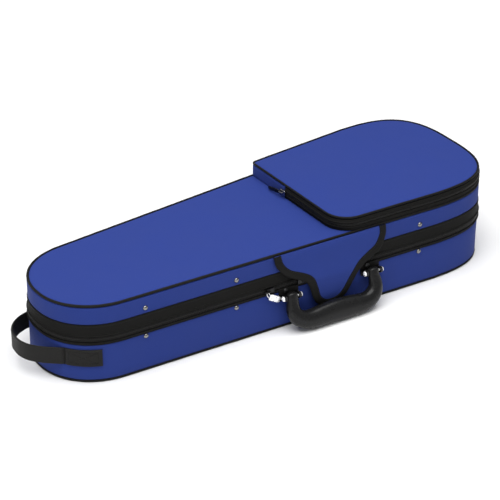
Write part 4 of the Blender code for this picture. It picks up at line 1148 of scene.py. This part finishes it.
def interior():
    pieces = (
        # name, CAD node, body, voxel, smoothing passes, swell, fill of its padding (none in the firm box)
        ("cushion_body", "body_cushion", "base", 0.0024, 8, 0.0004, 0.8),
        ("cushion_neck", "neck_cradle", "base", 0.0018, 6, 0.0003, 0.8),
        ("compartment", "accessory_box", "base", 0.0011, 3, 0.0, None),
        ("compartment_lid", "accessory_lid", "accessory_lid", 0.0009, 3, 0.0, 0.3),
        ("bow_bridge", "bow_tip_holder", "lid", 0.0012, 4, 0.0, 0.7),
    )
    for name, node, body, voxel, passes, swell, fill in pieces:
        piece = soft_copy(name, node, voxel, passes, swell)
        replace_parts(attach(piece, body), node)
    neck_strap()
    linings()


def neck_strap():
    """A webbing strap over the neck cradle, sagging a little in its middle."""
    low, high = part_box("neck_strap")
    x, width = (low.x + high.x) / 2, high.x - low.x
    # The section: (share of the half width, height in millimetres).
    upper = [(-1.0, 0.6), (-0.96, 1.3), (-0.85, 1.6), (0.0, 1.7), (0.85, 1.6), (0.96, 1.3), (1.0, 0.6)]
    section = upper + [(0.96, 0.1), (0.0, 0.0), (-0.96, 0.1)]
    half_span, sag = 0.042, 0.0003
    grid = []
    for y in np.linspace(low.y, high.y, 41):
        z = low.z - sag * math.cos(y / half_span * math.pi / 2) ** 2
        grid.append([(x + share * width / 2, y, z + height * 0.001) for share, height in section])
    strap = skin("neck_webbing", np.array(grid), "webbing", (False, True))
    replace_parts(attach(strap, "base"), "neck_strap")


def linings():
    """Plush trays inside both shells, rolled over at their rims, with a cloth cap on each board's edge."""
    sides = (
        # body, up or down, ends of the wall's back, floor, rim, cap's top, cap's edge
        ("base", 1, 0.0071, 0.0086, 0.0551, 0.0574, 0.0552),
        ("lid", -1, 0.0946, 0.0931, 0.0599, 0.0576, 0.0598),
    )
    edge = Run(inset_ring(OUTLINE, 0.0100))
    for body, turn, skin_z, floor_z, rim_z, cap_z, cap_low in sides:
        section = [
            (-0.0087, skin_z), (-0.0087, rim_z - turn * 0.0030), (-0.0074, rim_z - turn * 0.0020),
            (-0.0072, rim_z - turn * 0.0008), (-0.0080, rim_z + turn * 0.0006),
            (-0.0090, rim_z + turn * 0.0009), (-0.0098, rim_z + turn * 0.0003),
            (-0.0102, rim_z - turn * 0.0012), (-0.0101, (rim_z + floor_z) / 2),
            (-0.0101, floor_z + turn * 0.0020), (-0.0106, floor_z + turn * 0.0004), (-0.0110, floor_z),
        ]
        wall = sweep(f"lining_wall_{body}", WALL, section, "plush", sharp=80.0)
        levels = [(share, floor_z) for share in (0.0, *np.linspace(0.05, 1.0, 12))]
        floor = disc(f"lining_floor_{body}", edge, SPINE, levels, "plush", wave=0.0003, down=body == "lid")
        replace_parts(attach(wall, body), f"{body}_lining")
        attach(floor, body)
        cap = [
            (-0.0013, cap_low), (-0.0012, cap_z - turn * 0.0002), (-0.0014, cap_z), (-0.0052, cap_z),
            (-0.0055, cap_z - turn * 0.0003), (-0.0055, cap_low), (-0.0048, cap_low),
            (-0.0047, cap_z - turn * 0.0008), (-0.0020, cap_z - turn * 0.0008), (-0.0017, cap_low),
        ]
        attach(sweep(f"rim_binding_{body}", WALL, cap, "binding"), body)


def hard_parts():
    """CAD pieces whose shapes are right: a better finish and softened edges."""
    looks = {
        "board": ("base_shell", "lid_shell"),
        "plastic": ("base_lip", "lid_lip", "bow_spinner_front", "bow_spinner_rear"),
        "blackened": ("handle_bracket_left", "handle_bracket_right"),
    }
    for paint, names in looks.items():
        for name in names:
            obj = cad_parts[name]
            obj.data.materials.clear()
            obj.data.materials.append(PAINTS[paint])
            if "shell" not in name:
                soften = obj.modifiers.new("soften", "BEVEL")
                soften.width = 0.0004
                soften.segments = 3
                soften.limit_method = "ANGLE"
                soften.angle_limit = math.radians(40)
                soften.harden_normals = True


# Floor, light and camera.


def studio():
    half, level = 6.0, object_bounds()[0].z - 0.0002
    mesh = bpy.data.meshes.new("floor")
    mesh.from_pydata([(x, y, 0) for x, y in rectangle(half, half)], [], [(0, 1, 2, 3)])
    ground = linked("floor", mesh)
    ground.location.z = level
    ground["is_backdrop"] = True
    pale = Paint("pale_floor", Roughness=0.9, Specular_IOR_Level=0.1)
    patches = pale.noise(pale.coordinates(OBJECT), 3.0)
    tone = pale.mix(pale.ramp(patches, 0.0, 1.0), (0.80, 0.80, 0.80), (0.82, 0.82, 0.82))
    mesh.materials.append(pale.finish(tone))
    world = bpy.data.worlds.new("studio")
    bpy.context.scene.world = world
    world.use_nodes = True
    background = world.node_tree.nodes["Background"]
    background.inputs["Color"].default_value = (1.0, 1.0, 1.0, 1.0)
    background.inputs["Strength"].default_value = 0.40
    lamps = (
        # name, place, size, power in watts
        ("key", (-0.4, -0.4, 2.4), 2.6, 100.0),
        ("fill", (-1.6, -2.0, 1.0), 1.2, 4.0),
        ("rim", (0.8, 2.0, 1.6), 1.2, 4.0),
    )
    for name, place, size, power in lamps:
        lamp = bpy.data.lights.new(name, "AREA")
        lamp.size = size
        lamp.energy = power
        obj = linked(name, lamp)
        obj.location = place
        obj.rotation_euler = (-Vector(place)).to_track_quat("-Z", "Y").to_euler()


def camera():
    azimuth, elevation, roll = (math.radians(angle) for angle in (-34.76, 31.30, 0.28))
    distance = 2.626
    back = Matrix.Rotation(azimuth, 3, "Z") @ Vector((0.0, -math.cos(elevation), math.sin(elevation)))
    data = bpy.data.cameras.new("camera")
    data.lens = 155.4
    data.sensor_width = 36.0
    data.shift_x = -0.0096
    data.shift_y = 0.0806
    data.clip_end = 50.0
    obj = linked("camera", data)
    turn = (-back).to_track_quat("-Z", "Y").to_matrix().to_4x4() @ Matrix.Rotation(roll, 4, "Z")
    obj.matrix_world = Matrix.Translation(back * distance) @ turn
    bpy.context.scene.camera = obj
    bpy.context.scene.view_settings.view_transform = "Standard"


piping_and_skins()
zip_band()
rear_gusset()
rivets()
flap()
flap_patches()
handle()
pins()
sliders()
pocket()
end_loop()
interior()
hard_parts()
studio()
camera()
